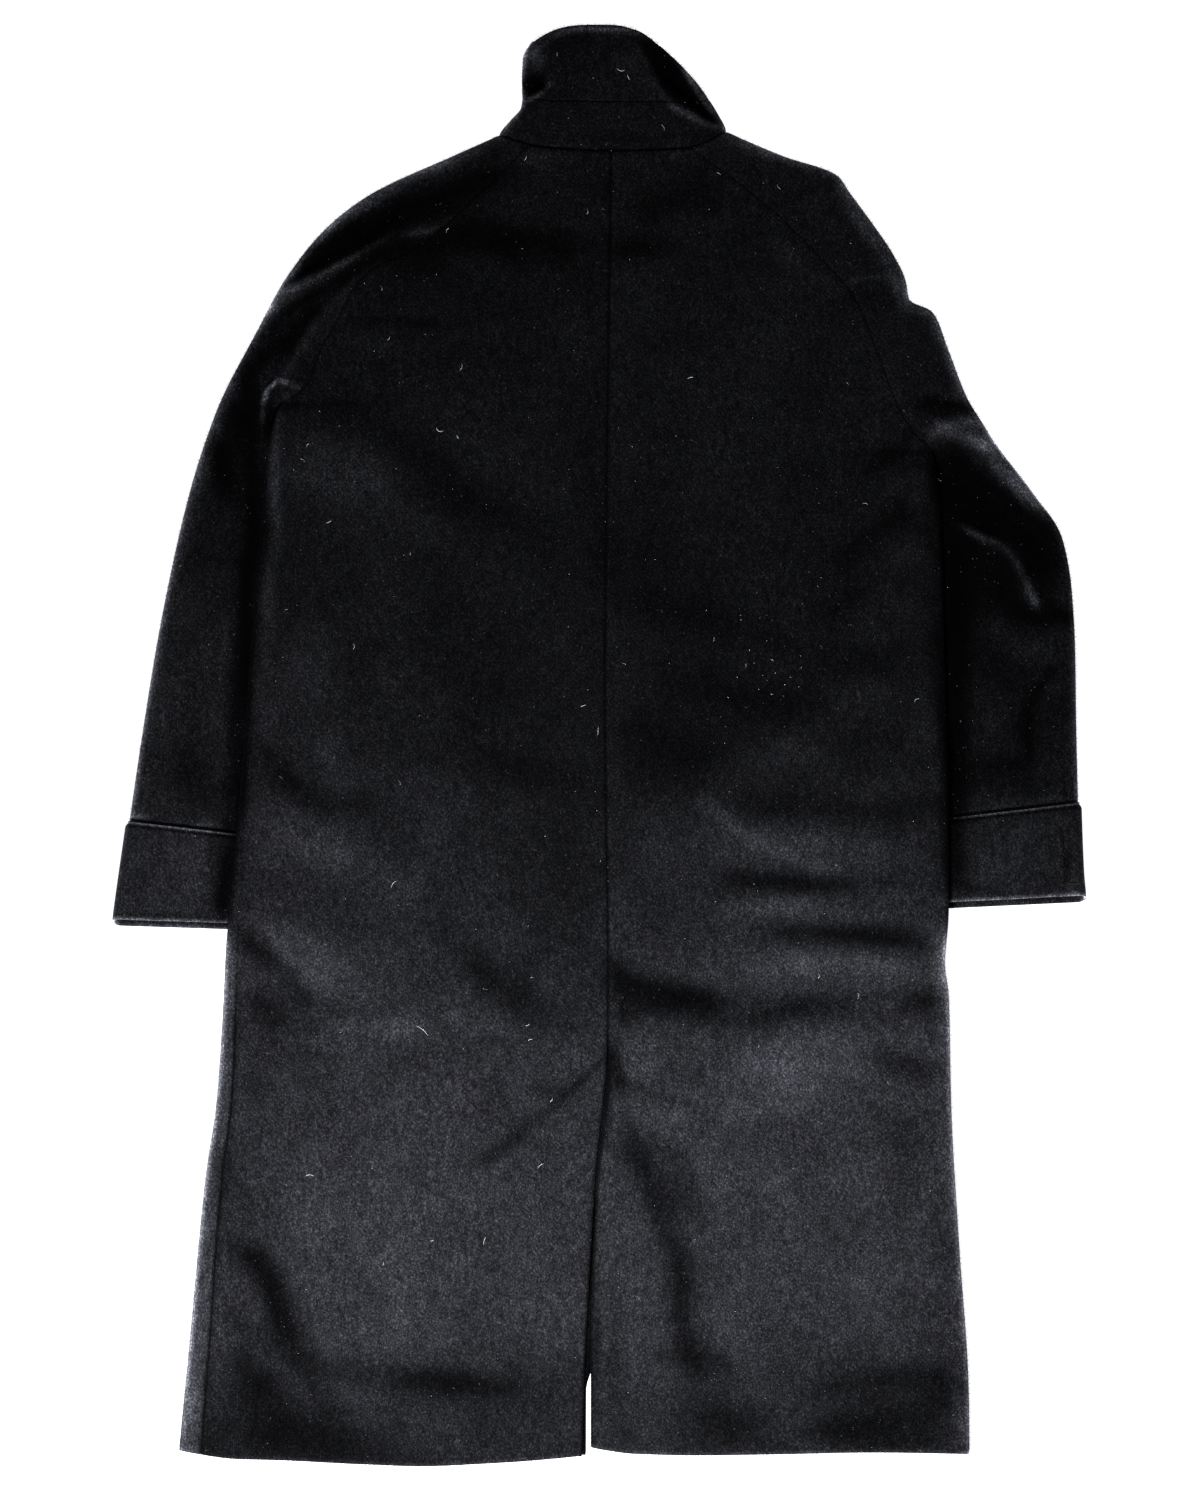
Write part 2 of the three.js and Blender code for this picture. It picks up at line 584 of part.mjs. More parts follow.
for (const name of ['left', 'right']) {
  for (const [piece, side, columns] of [['back', 'top', even(BACK_RUN)], ['front', 'under', FRONT_SHARES]]) {
    const rows = bodyRows(name, side === 'top');
    const grid = rows.map((row) => panelRow(row, side, columns));
    addPiece(`${piece}_${name}`, wall(grid, {
      under: side === 'under',
      seamColumns: (j) => j === 0,
      seamRows: (i) => i === 0,
    }));
  }
}

for (const name of ['left', 'right']) {
  const rows = sleeveRows(name);
  for (const [piece, side] of [['back', 'top'], ['front', 'under']]) {
    const grid = rows.map((row) => panelRow(row, side, even(SLEEVE_RUN)));
    addPiece(`sleeve_${name}_${piece}`, wall(grid, {
      under: side === 'under',
      seamRows: (i) => i === 0,
    }));
  }
}

for (const name of ['left', 'right']) {
  const armLength = SIDE[name].backSeam(1).y - SIDE[name].armEndY;
  const { inner, outer } = SIDE[name].cuff;
  const rows = sleeveRows(name, {
    grow: LAYER,
    from: 1 - inner / armLength,
    to: 1 + CUFF_REACH / armLength,
    count: CUFF_ROWS,
    slant: (outer - inner) / armLength,
  });
  const grid = rows.map((row, i) => {
    const top = panelRow(row, 'top', even(SLEEVE_RUN));
    const under = panelRow(row, 'under', even(SLEEVE_RUN)).reverse();
    const loop = [...top.slice(0, -1), ...under.slice(0, -1)];
    const drop = i === rows.length - 1 ? CUFF_LIP : 0;
    const topZ = Math.max(...loop.map((point) => point.z));
    loop.forEach((point) => {
      point.facing = null;
      point.setY(point.y - drop * (1 - point.z / topZ));
    });
    return loop;
  });
  addPiece(`cuff_${name}`, wall(grid, { closed: true }));
}

const COLLAR_PIECES = [
  { name: 'collar_stand', from: 0, to: STAND_SHARE - COLLAR_SPLIT, rows: 4 },
  { name: 'collar_leaf', from: STAND_SHARE + COLLAR_SPLIT, to: 1, rows: 6 },
];
for (const piece of COLLAR_PIECES) {
  const grid = [];
  for (let i = 0; i <= piece.rows; i += 1) grid.push(collarRow(mix(piece.from, piece.to, i / piece.rows)));
  const seam = piece.name === 'collar_stand' ? piece.rows : 0;
  addPiece(piece.name, wall(grid, { seamRows: (i) => i === seam || i === 0 }));
}

for (let i = 0; i < BUTTON_COUNT; i += 1) {
  const profile = BUTTON_PROFILE.map(([r, h]) => new THREE.Vector2(r * BUTTON_RADIUS, h * BUTTON_THICK));
  const shape = new THREE.LatheGeometry(profile, BUTTON_SIDES);
  const button = addPiece(`button_${i + 1}`, shape, COLOURS.horn, 0.4);
  button.rotation.x = Math.PI / 2;
  button.position.set(BUTTON_X, BUTTON_TOP_Y - i * BUTTON_STEP, 0);
}

export default group;
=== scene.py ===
"""Raglan overcoat laid flat on its front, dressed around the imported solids. Tables are in millimetres."""

import json
import math

import bmesh
import bpy
import numpy as np
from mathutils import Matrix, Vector
from mathutils.bvhtree import BVHTree

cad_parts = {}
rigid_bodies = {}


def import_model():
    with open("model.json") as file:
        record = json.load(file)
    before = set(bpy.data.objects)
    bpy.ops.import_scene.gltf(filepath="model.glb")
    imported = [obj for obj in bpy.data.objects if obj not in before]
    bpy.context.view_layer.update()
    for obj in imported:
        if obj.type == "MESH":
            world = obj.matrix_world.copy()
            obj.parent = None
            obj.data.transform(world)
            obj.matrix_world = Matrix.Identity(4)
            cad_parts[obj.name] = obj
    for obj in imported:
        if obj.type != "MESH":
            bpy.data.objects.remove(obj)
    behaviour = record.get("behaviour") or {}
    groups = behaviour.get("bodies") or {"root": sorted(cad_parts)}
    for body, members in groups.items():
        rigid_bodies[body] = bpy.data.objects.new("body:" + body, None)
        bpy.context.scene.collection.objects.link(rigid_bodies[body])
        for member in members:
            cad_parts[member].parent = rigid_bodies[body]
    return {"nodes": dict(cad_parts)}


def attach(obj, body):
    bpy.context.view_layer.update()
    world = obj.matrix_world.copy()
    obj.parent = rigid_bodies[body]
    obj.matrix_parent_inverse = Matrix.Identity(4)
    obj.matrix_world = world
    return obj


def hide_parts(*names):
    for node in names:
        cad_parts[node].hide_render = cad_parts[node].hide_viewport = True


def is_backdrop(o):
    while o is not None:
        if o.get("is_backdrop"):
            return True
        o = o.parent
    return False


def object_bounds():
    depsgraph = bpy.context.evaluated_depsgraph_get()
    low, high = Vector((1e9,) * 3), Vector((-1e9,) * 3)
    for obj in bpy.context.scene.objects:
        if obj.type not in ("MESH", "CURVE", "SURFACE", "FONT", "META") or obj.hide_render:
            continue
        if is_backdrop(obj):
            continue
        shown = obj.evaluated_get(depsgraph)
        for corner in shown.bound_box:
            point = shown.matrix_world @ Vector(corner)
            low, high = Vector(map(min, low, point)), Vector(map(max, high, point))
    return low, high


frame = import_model()
cad_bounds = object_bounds()

MM = 0.001

# Cloth and how it lies, as in the solids
CLOTH = 2.5
SEAM_GAP = 0.3
LOFT = 2.8
LEAST_GAP = 0.9
LAYER = CLOTH + 0.5
REST_MID = CLOTH / 2
HEM_Y = -600.0
CENTRE_X = -1.0
CENTRE_Y = 0.5

# Buttons under the coat, and the bulge over them across and along the front
BUTTON_THICK = 3.5
BUTTON_COUNT = 5
BUTTON_X = 8.0
BULGE_ACROSS = (20, 95)
BULGE_LOW = (-130, -70)
BULGE_HIGH = (412, 440)

# Cuff bands: how far the lower lip and the whole band reach past the sleeve
CUFF_LIP = 7.0
CUFF_REACH = 2.0

# The cloth's middle lies this far inside the outline
OUTLINE_INSET = 1.2

# Grid steps of the cloth
RAGLAN_LENGTH = 310.0
BACK_ROWS = {"raglan": 110, "side": 250}
FRONT_ROWS = {"raglan": 60, "side": 150}
ARM_BACK_ROWS = {"raglan": 110, "side": 150}
ARM_FRONT_ROWS = {"raglan": 60, "side": 90}
BODY_RUN = 96
FRONT_RUN = 36
SLEEVE_RUN = 56
SLEEVE_FRONT_RUN = 34
CUFF_RUN = 70


def table(columns, *rows):
    return {name: np.array([row[i] for row in rows], float) for i, name in enumerate(columns)}


def read(rows, key, column, at):
    """Smooth curve through a table's rows, level beyond both ends."""
    keys, values = rows[key], rows[column]
    if keys[0] > keys[-1]:
        keys, values = keys[::-1], values[::-1]
    spans = np.diff(keys)
    slopes = np.diff(values) / spans
    tangents = np.empty_like(values)
    tangents[0], tangents[-1] = slopes[0], slopes[-1]
    before, after = slopes[:-1], slopes[1:]
    same = before * after > 0
    total = np.where(same, before + after, 1)
    tangents[1:-1] = np.where(same, 2 * before * after / total, 0)
    at = np.clip(np.asarray(at, float), keys[0], keys[-1])
    i = np.clip(np.searchsorted(keys, at, side="right") - 1, 0, len(spans) - 1)
    t = (at - keys[i]) / spans[i]
    start, end = values[i], values[i + 1]
    leave, arrive = tangents[i] * spans[i], tangents[i + 1] * spans[i]
    return (
        start * (1 + 2 * t) * (1 - t) ** 2
        + leave * t * (1 - t) ** 2
        + end * t * t * (3 - 2 * t)
        - arrive * t * t * (1 - t)
    )


def route(*points):
    """A plan route through points, read by the share of its length."""
    xy = np.array(points, float)
    length = np.concatenate([[0], np.cumsum(np.hypot(*np.diff(xy, axis=0).T))])
    rows = {"length": length, "x": xy[:, 0], "y": xy[:, 1]}
    return lambda share: np.stack(
        [read(rows, "length", name, np.asarray(share) * length[-1]) for name in ("x", "y")], axis=-1
    )


def ease(start, end, at):
    t = np.clip((at - start) / (end - start), 0, 1)
    return t * t * (3 - 2 * t)


def mix(a, b, t):
    return a + (b - a) * t


# Seams and outlines in plan
CENTRE_BACK = table(("y", "x"), (506, 11), (294, 8.5), (39, 6), (-182, 8.5), (-230, 8.5))
VENT = table(
    ("y", "left", "right"),
    (-230, 8.5, 8.5), (-255, 8, 9.2), (-275, 7, 10.2), (-292, 5.4, 8.8), (-326, 1.6, 4.6),
    (-360, -1.8, 1), (-411, -5.1, -2.5), (-462, -8, -4.8), (-530, -11.5, -6), (-602, -13.8, -6),
)
NECK_BACK = table(
    ("x", "y"), (-83, 518), (-66, 512.5), (-49, 508.3), (11, 505), (78, 507), (94, 512), (108, 521)
)

# Each side: its seams and outlines, the sleeve's inner fold, how far that lifts the body (ride), how far the
# seam lies inside the edge (inset), the hem's bow, the arm's end, and the cuff's depth, tone and painted lip
# highlight
LEFT = {
    "name": "left",
    "sign": -1,
    "back_seam": route(
        (-58, 510.3), (-96, 473), (-155, 422), (-190, 405), (-206, 389), (-224, 355), (-235, 337),
        (-243, 313), (-251, 302), (-266, 292),
    ),
    "front_seam": route((-72, 502), (-112, 462), (-165, 412), (-215, 360), (-266, 292)),
    "shoulder": route(
        (-83, 518), (-124, 500), (-193, 468), (-231, 439), (-264, 398), (-292, 347), (-312, 310)
    ),
    "arm": route(
        (-312, 310), (-323, 286), (-344, 224), (-359, 163), (-375, 82), (-388, 0), (-398, -71),
        (-404, -112), (-409, -146),
    ),
    "edge": table(
        ("y", "x"),
        (292, -266), (286, -271), (240, -280), (182, -285), (-76, -304), (-184, -314), (-306, -323),
        (-367, -332), (-490, -344), (-602, -354.5),
    ),
    "arm_fold": table(
        ("y", "x"),
        (292, -266), (286, -273.9), (278, -276.9), (262, -279.6), (240, -283), (205, -280), (150, -272),
        (0, -264), (-150, -257),
    ),
    "ride": table(
        ("y", "lift"),
        (292, 0), (284, 2.5), (252, 8.4), (34, 8.4), (-50, 14.8), (-162, 14.8), (-200, 5), (-230, 0),
    ),
    "inset": table(("y", "back"), (260, 0), (0, 3), (-173, 10), (-590, 19)),
    "sleeve_inset": table(("share", "back"), (0, 0), (1, 0)),
    "hem": table(
        ("x", "y"), (-355, 3), (-331, -1.5), (-309, -4.2), (-267, -5.5), (-203, -8.8), (-150, -10.5),
        (-97, -8.3), (-54, -5.5), (-17, -2),
    ),
    "arm_end": -149.0,
    "cuff": (69.0, 78.0),
    "cuff_tone": 0.05,
    "lip_highlight": 1.8,
}
RIGHT = {
    "name": "right",
    "sign": 1,
    "back_seam": route(
        (78, 507), (94, 496), (122, 475), (150, 452), (175, 428), (194, 408), (210, 391), (224, 367),
        (235, 338), (245, 312), (255, 286), (269, 265), (283, 251),
    ),
    "front_seam": route((95, 501), (140, 455), (190, 395), (235, 330), (283, 251)),
    "shoulder": route(
        (108, 521), (158, 500), (203, 484), (214, 469), (236, 439), (250, 418), (261, 395), (264, 379),
        (284, 368), (297, 337), (313, 296), (325, 276),
    ),
    "arm": route(
        (325, 276), (338, 255), (369, 214), (394, 176), (402, 133), (405, 80), (406, 0), (407, -51),
        (409, -105), (411, -126),
    ),
    "edge": table(
        ("y", "x"),
        (251, 283), (240, 285), (124, 291), (-135, 295), (-184, 293), (-214, 297), (-306, 299),
        (-428, 306), (-551, 314), (-602, 314.5),
    ),
    "arm_fold": table(
        ("y", "x"), (251, 283), (245, 286.4), (237, 287.6), (222, 289.6), (200, 290), (165, 286), (100, 278),
        (0, 270), (-131, 262),
    ),
    "ride": table(
        ("y", "lift"),
        (251, 0), (243, 2.5), (212, 8.4), (34, 8.4), (-32, 14.8), (-144, 14.8), (-182, 5), (-212, 0),
    ),
    "inset": table(("y", "back"), (251, 0), (-600, 0)),
    "sleeve_inset": table(("share", "back"), (0, 0), (0.3, 0), (0.5, 12), (1, 14)),
    "hem": table(
        ("x", "y"), (-6, 5.5), (10, 2.5), (30, 0), (78, -1.2), (155, -0.3), (231, 1.2), (315, 0)
    ),
    "arm_end": -131.0,
    "cuff": (66.0, 70.0),
    "cuff_tone": -0.1,
    "lip_highlight": 0.9,
}
SIDES = (LEFT, RIGHT)

# Front edges, the left front nearest the floor
FRONT_EDGE = table(
    ("y", "left", "right"), (-150, 30, -15), (-330, 12, -10), (-440, 2, 2.5), (-520, -3, 0), (-532, -6.5, -1),
    (-545, -10.2, -2), (-600, -10.5, -4),
)

# The right front's edge lies on the left front, and lifts what is over it
OVERLAP_LIFT = LAYER + 0.4
OVERLAP_FLAT = (-20, 33)
OVERLAP_RAMP = 75
OVERLAP_LOW = (-490, -440)
OVERLAP_HIGH = (455, 500)

# Where a sleeve under the body's side lifts it
RIDE_RAMP = 85
RIDE_LEAD = 22

# Soft strokes: the ends of a line, its width and an amount
STROKE = ("x0", "y0", "x1", "y1", "width", "amount")
TAPER = 0.65

# Folds of the upper layer, those of the solids and finer ones: the amount is a height
FOLDS = table(
    STROKE,
    # across the skirt, right half
    (87, -71, 257, -88, 20, 2.6), (112, -105, 223, -118, 13, -2), (155, -152, 270, -165, 12, -1.8),
    (214, -173, 280, -190, 11, 2.2), (19, -203, 104, -216, 13, -1.8), (138, -216, 270, -220, 11, -2),
    (121, -250, 197, -284, 20, 2.8), (19, -309, 87, -539, 17, -1.6), (100, -380, 150, -560, 30, 1.6),
    (287, -562, 306, -532, 14, -1.6), (180, -579, 287, -562, 12, -1.6), (252, -220, 293, -208, 9, -1.4),
    (233, -260, 287, -278, 12, -1.2),
    # across the skirt, left half
    (-290, -150, -236, -224, 13, -2), (-230, -180, -120, -250, 22, 1.8), (-296, -420, -253, -505, 13, -1.8),
    (-310, -564, -211, -564, 12, -1.3), (-168, -543, -83, -543, 12, -1.3), (4, -275, -58, -318, 9, -1.8),
    (-200, -330, -150, -520, 32, 1.6), (-276, -20, -234, -49, 11, -1.3), (-234, -49, -189, -45, 12, -1),
    (-114, -177, -56, -219, 15, -1.2), (-56, -219, 0, -243, 16, -0.8),
    # upper back
    (-191, 358, -150, 352, 10, -2), (-118, 444, -44, 418, 15, -1.8), (-180, 300, -120, 120, 34, 1.5),
    (150, 330, 190, 120, 34, 1.2), (-233, 303, -157, 258, 18, -1), (-157, 258, -101, 201, 20, -1),
    (286, 220, 230, 197, 12, -1.2), (230, 197, 207, 163, 12, -1),
    # left sleeve
    (-269, 381, -207, 411, 10, 4), (-207, 411, -163, 440, 10, 4.2), (-268, 318, -246, 348, 8, 3.2),
    (-246, 348, -207, 391, 8, 3.4), (-261, 389, -212, 445, 10, -2), (-212, 445, -161, 469, 10, -2),
    (-161, 469, -84, 486, 10, -2), (-262, 362, -283, 302, 8, -2), (-283, 302, -312, 170, 9, -1.8),
    (-330, 190, -352, 60, 12, 1.2),
    # right sleeve
    (207, 393, 256, 384, 8, -2), (269, 296, 312, 280, 8, -2), (290, 266, 320, 262, 9, 3.6),
    (320, 262, 358, 224, 10, 4), (358, 224, 388, 186, 10, 3.6), (318, 215, 372, 150, 18, -1.8),
    (324, 180, 355, 152, 8, 1.8), (355, 152, 372, 113, 8, 1.8), (377, 62, 361, -7, 7, -1.8),
    (361, -7, 367, -29, 7, -1.6), (384, 118, 402, 108, 9, -1.5),
    # collar turned up
    (-64, 527, -42, 558, 8, 3), (88, 531, 52, 562, 8, 3.2), (-42, 558, -30, 596, 10, 1.6),
    (52, 562, 30, 594, 10, 1.6), (-62, 556, -47, 564, 7, -1.8), (42, 590, 66, 562, 8, -1.8),
    (66, 562, 96, 534, 7, -1.8),
)

# Painted shade in the troughs of folds and beside raised edges, and painted highlights on their ridges: the
# amount is a tone, as a natural logarithm.
# These strokes also sink or lift the cloth a little.
FOLD_LIGHT_AND_SHADE = table(
    STROKE,
    # skirt, right half
    (105, -109, 213, -117, 8, -1.1), (146, -155, 279, -165, 8.5, -1.05), (14, -198, 101, -219, 12, -1.2),
    (126, -231, 184, -219, 11, -0.9), (184, -219, 221, -215, 11, -0.7), (258, -221, 291, -208, 7, -0.9),
    (233, -260, 287, -277, 11, -0.75), (117, -49, 291, -53, 14, -0.85), (18, -20, 101, -20, 24, -0.9),
    (113, -72, 266, -88, 13, 0.35), (101, -136, 180, -138, 12, 0.15), (163, -182, 287, -186, 11, 0.3),
    (142, -260, 208, -256, 24, 0.4), (26, -314, 47, -376, 7, -0.75), (47, -376, 64, -426, 9, -0.8),
    (64, -426, 76, -525, 9, -0.65), (72, -350, 84, -392, 8, -0.35), (14, -285, 80, -301, 5, -0.45),
    (180, -579, 287, -562, 12, -1.0), (287, -562, 306, -532, 16, -1.0), (80, -562, 163, -583, 18, -0.5),
    (250, -318, 266, -405, 16, -0.25), (290, -384, 305, -467, 12, -0.35), (20, -120, 100, -165, 34, -0.3),
    # skirt, left half
    (6, -266, -44, -310, 4.5, -1.0), (-44, -310, -106, -355, 7, -0.55), (-300, -157, -267, -186, 7, -1.2),
    (-267, -186, -242, -219, 9, -0.8), (-280, -219, -255, -235, 20, -0.55), (-276, -20, -234, -49, 10, -0.9),
    (-234, -49, -189, -45, 12, -0.6), (-106, -12, 0, -37, 20, -0.7), (-56, -49, 4, -136, 32, -0.5),
    (-114, -177, -56, -219, 15, -0.8), (-56, -219, 0, -243, 16, -0.45), (-304, -430, -280, -442, 13, -1.1),
    (-280, -442, -255, -508, 11, -1.2), (-300, -521, -271, -550, 11, -0.8),
    (-296, -583, -189, -591, 16, -1.1), (-168, -537, -69, -546, 10, -1.05),
    (-325, -340, -312, -390, 22, -0.35), (-340, -590, -320, -600, 16, -0.8), (-238, -66, -213, -78, 28, 0.25),
    (-259, -150, -218, -192, 12, 0.4), (-250, -479, -147, -500, 36, 0.15),
    # back, left half
    (-150, 421, -44, 432, 11, -0.9), (-44, 432, -22, 412, 13, -0.6), (-207, 360, -127, 358, 5, -0.8),
    (-233, 303, -157, 258, 18, -0.55), (-157, 258, -101, 201, 20, -0.6), (-101, 201, -51, 182, 22, -0.45),
    (-264, 250, -170, 196, 30, 0.45), (-279, 87, -211, -10, 36, 0.45), (-157, 49, -100, -27, 30, 0.2),
    (-210, 87, -188, 30, 18, -0.35), (-100, 90, -20, 60, 30, -0.2), (-285, 40, -262, 20, 12, 0.25),
    # back, right half
    (17, 448, 97, 474, 13, -0.6), (13, 417, 47, 425, 10, -0.6), (229, 235, 268, 262, 8, -0.75),
    (199, 151, 268, 205, 11, -0.7), (191, 106, 230, 136, 9, -0.55), (241, 220, 283, 231, 7, 0.35),
    (248, 166, 262, 150, 18, 0.35), (214, 95, 283, 106, 18, 0.3), (24, 129, 191, 83, 12, -0.4),
    (32, 95, 100, 76, 9, 0.2), (40, 53, 191, 34, 14, -0.5), (17, 15, 116, -8, 16, -0.55),
    (146, -8, 207, -15, 15, 0.55), (184, 38, 283, 53, 20, 0.4), (258, 4, 270, 0, 18, 0.3),
    (120, 380, 170, 300, 30, 0.2),
    # left sleeve
    (-254, 401, -205, 440, 10, -1.9), (-215, 430, -157, 459, 12, -1.9), (-157, 459, -82, 486, 9, -1.6),
    (-268, 382, -232, 401, 3.8, 2.4), (-232, 401, -206, 415, 3.6, 1.9), (-206, 415, -176, 433, 3.2, 1.4),
    (-262, 371, -226, 391, 4, -1.5), (-226, 391, -186, 417, 5, -1.5), (-186, 417, -120, 444, 8, -1.0),
    (-298, 319, -258, 350, 8, -1.5), (-258, 350, -236, 378, 6, -1.3), (-266, 313, -236, 366, 4, 0.9),
    (-236, 366, -204, 396, 4, 0.8), (-309, 296, -290, 220, 15, -1.6), (-290, 220, -294, 144, 15, -1.5),
    (-296, 144, -312, -60, 9, -1.5), (-355, 144, -374, -8, 20, 0.5), (-150, 488, -249, 423, 6, 1.3),
    (-249, 423, -300, 334, 7, 1.2), (-300, 334, -342, 220, 7, 1.2), (-342, 220, -366, 140, 8, 0.9),
    (-366, 140, -400, -60, 6, 0.6), (-318, -60, -322, -150, 10, -0.9), (-284, 262, -284, 290, 1.4, 1.6),
    (-284, 290, -281, 302, 1.8, 2.8), (-281, 302, -273, 309, 2.0, 3.0), (-273, 309, -262, 307, 2.2, 2.6),
    (-262, 307, -252, 303, 2.0, 1.8), (-266, 300, -262, 291, 4, 0.9), (-277, 290, -281, 262, 4, -2.2),
    (-255, 292, -268, 288, 4, -0.8),
    # right sleeve
    (288, 245, 293, 205, 5, -2.0), (207, 392, 245, 400, 3, 0.8), (271, 292, 317, 284, 6, -1.7),
    (279, 262, 305, 272, 7, 1.2), (305, 272, 336, 251, 8, 1.4), (336, 251, 384, 197, 8, 1.3),
    (302, 222, 381, 160, 17, -2.0), (305, 182, 305, 87, 15, -1.8), (303, 87, 303, -60, 11, -1.5),
    (307, 190, 343, 171, 4, 2.0), (343, 171, 362, 148, 4.5, 2.1), (362, 148, 374, 116, 4, 1.8),
    (336, 136, 370, 106, 9, -1.0), (385, 68, 362, 30, 4.5, -1.2), (362, 30, 364, -15, 5, -1.2),
    (324, 106, 381, 76, 12, 0.6), (317, 49, 343, 11, 16, 0.4), (398, 144, 404, -27, 6, 0.5),
    (317, -19, 366, -15, 7, -0.9), (302, -60, 302, -130, 12, -1.0), (150, 480, 200, 440, 20, -0.2),
    # collar
    (-63, 556, -46, 565, 6.5, -3.0), (-63, 545, -50, 551, 2.4, 1.4), (-50, 551, -38, 563, 2.4, 1.4),
    (38, 597, 52, 580, 5.5, -2.4), (52, 578, 66, 562, 8.5, -3.0), (66, 562, 84, 545, 7.5, -3.0),
    (84, 545, 101, 530, 4.2, -2.8), (62, 545, 82, 534, 3, 1.2), (82, 534, 106, 523, 3, 1.3),
    (-60, 590, -46, 576, 6.5, 1.2), (-60, 584, -30, 606, 2.4, 0.9), (-30, 608, 30, 608, 2.4, 1.1),
    (30, 607, 68, 580, 2.4, 1.1), (68, 580, 101, 534, 2, 1.1), (-64, 556, -70, 534, 3, 0.9),
)
SHADE_STROKE_RELIEF = 0.7
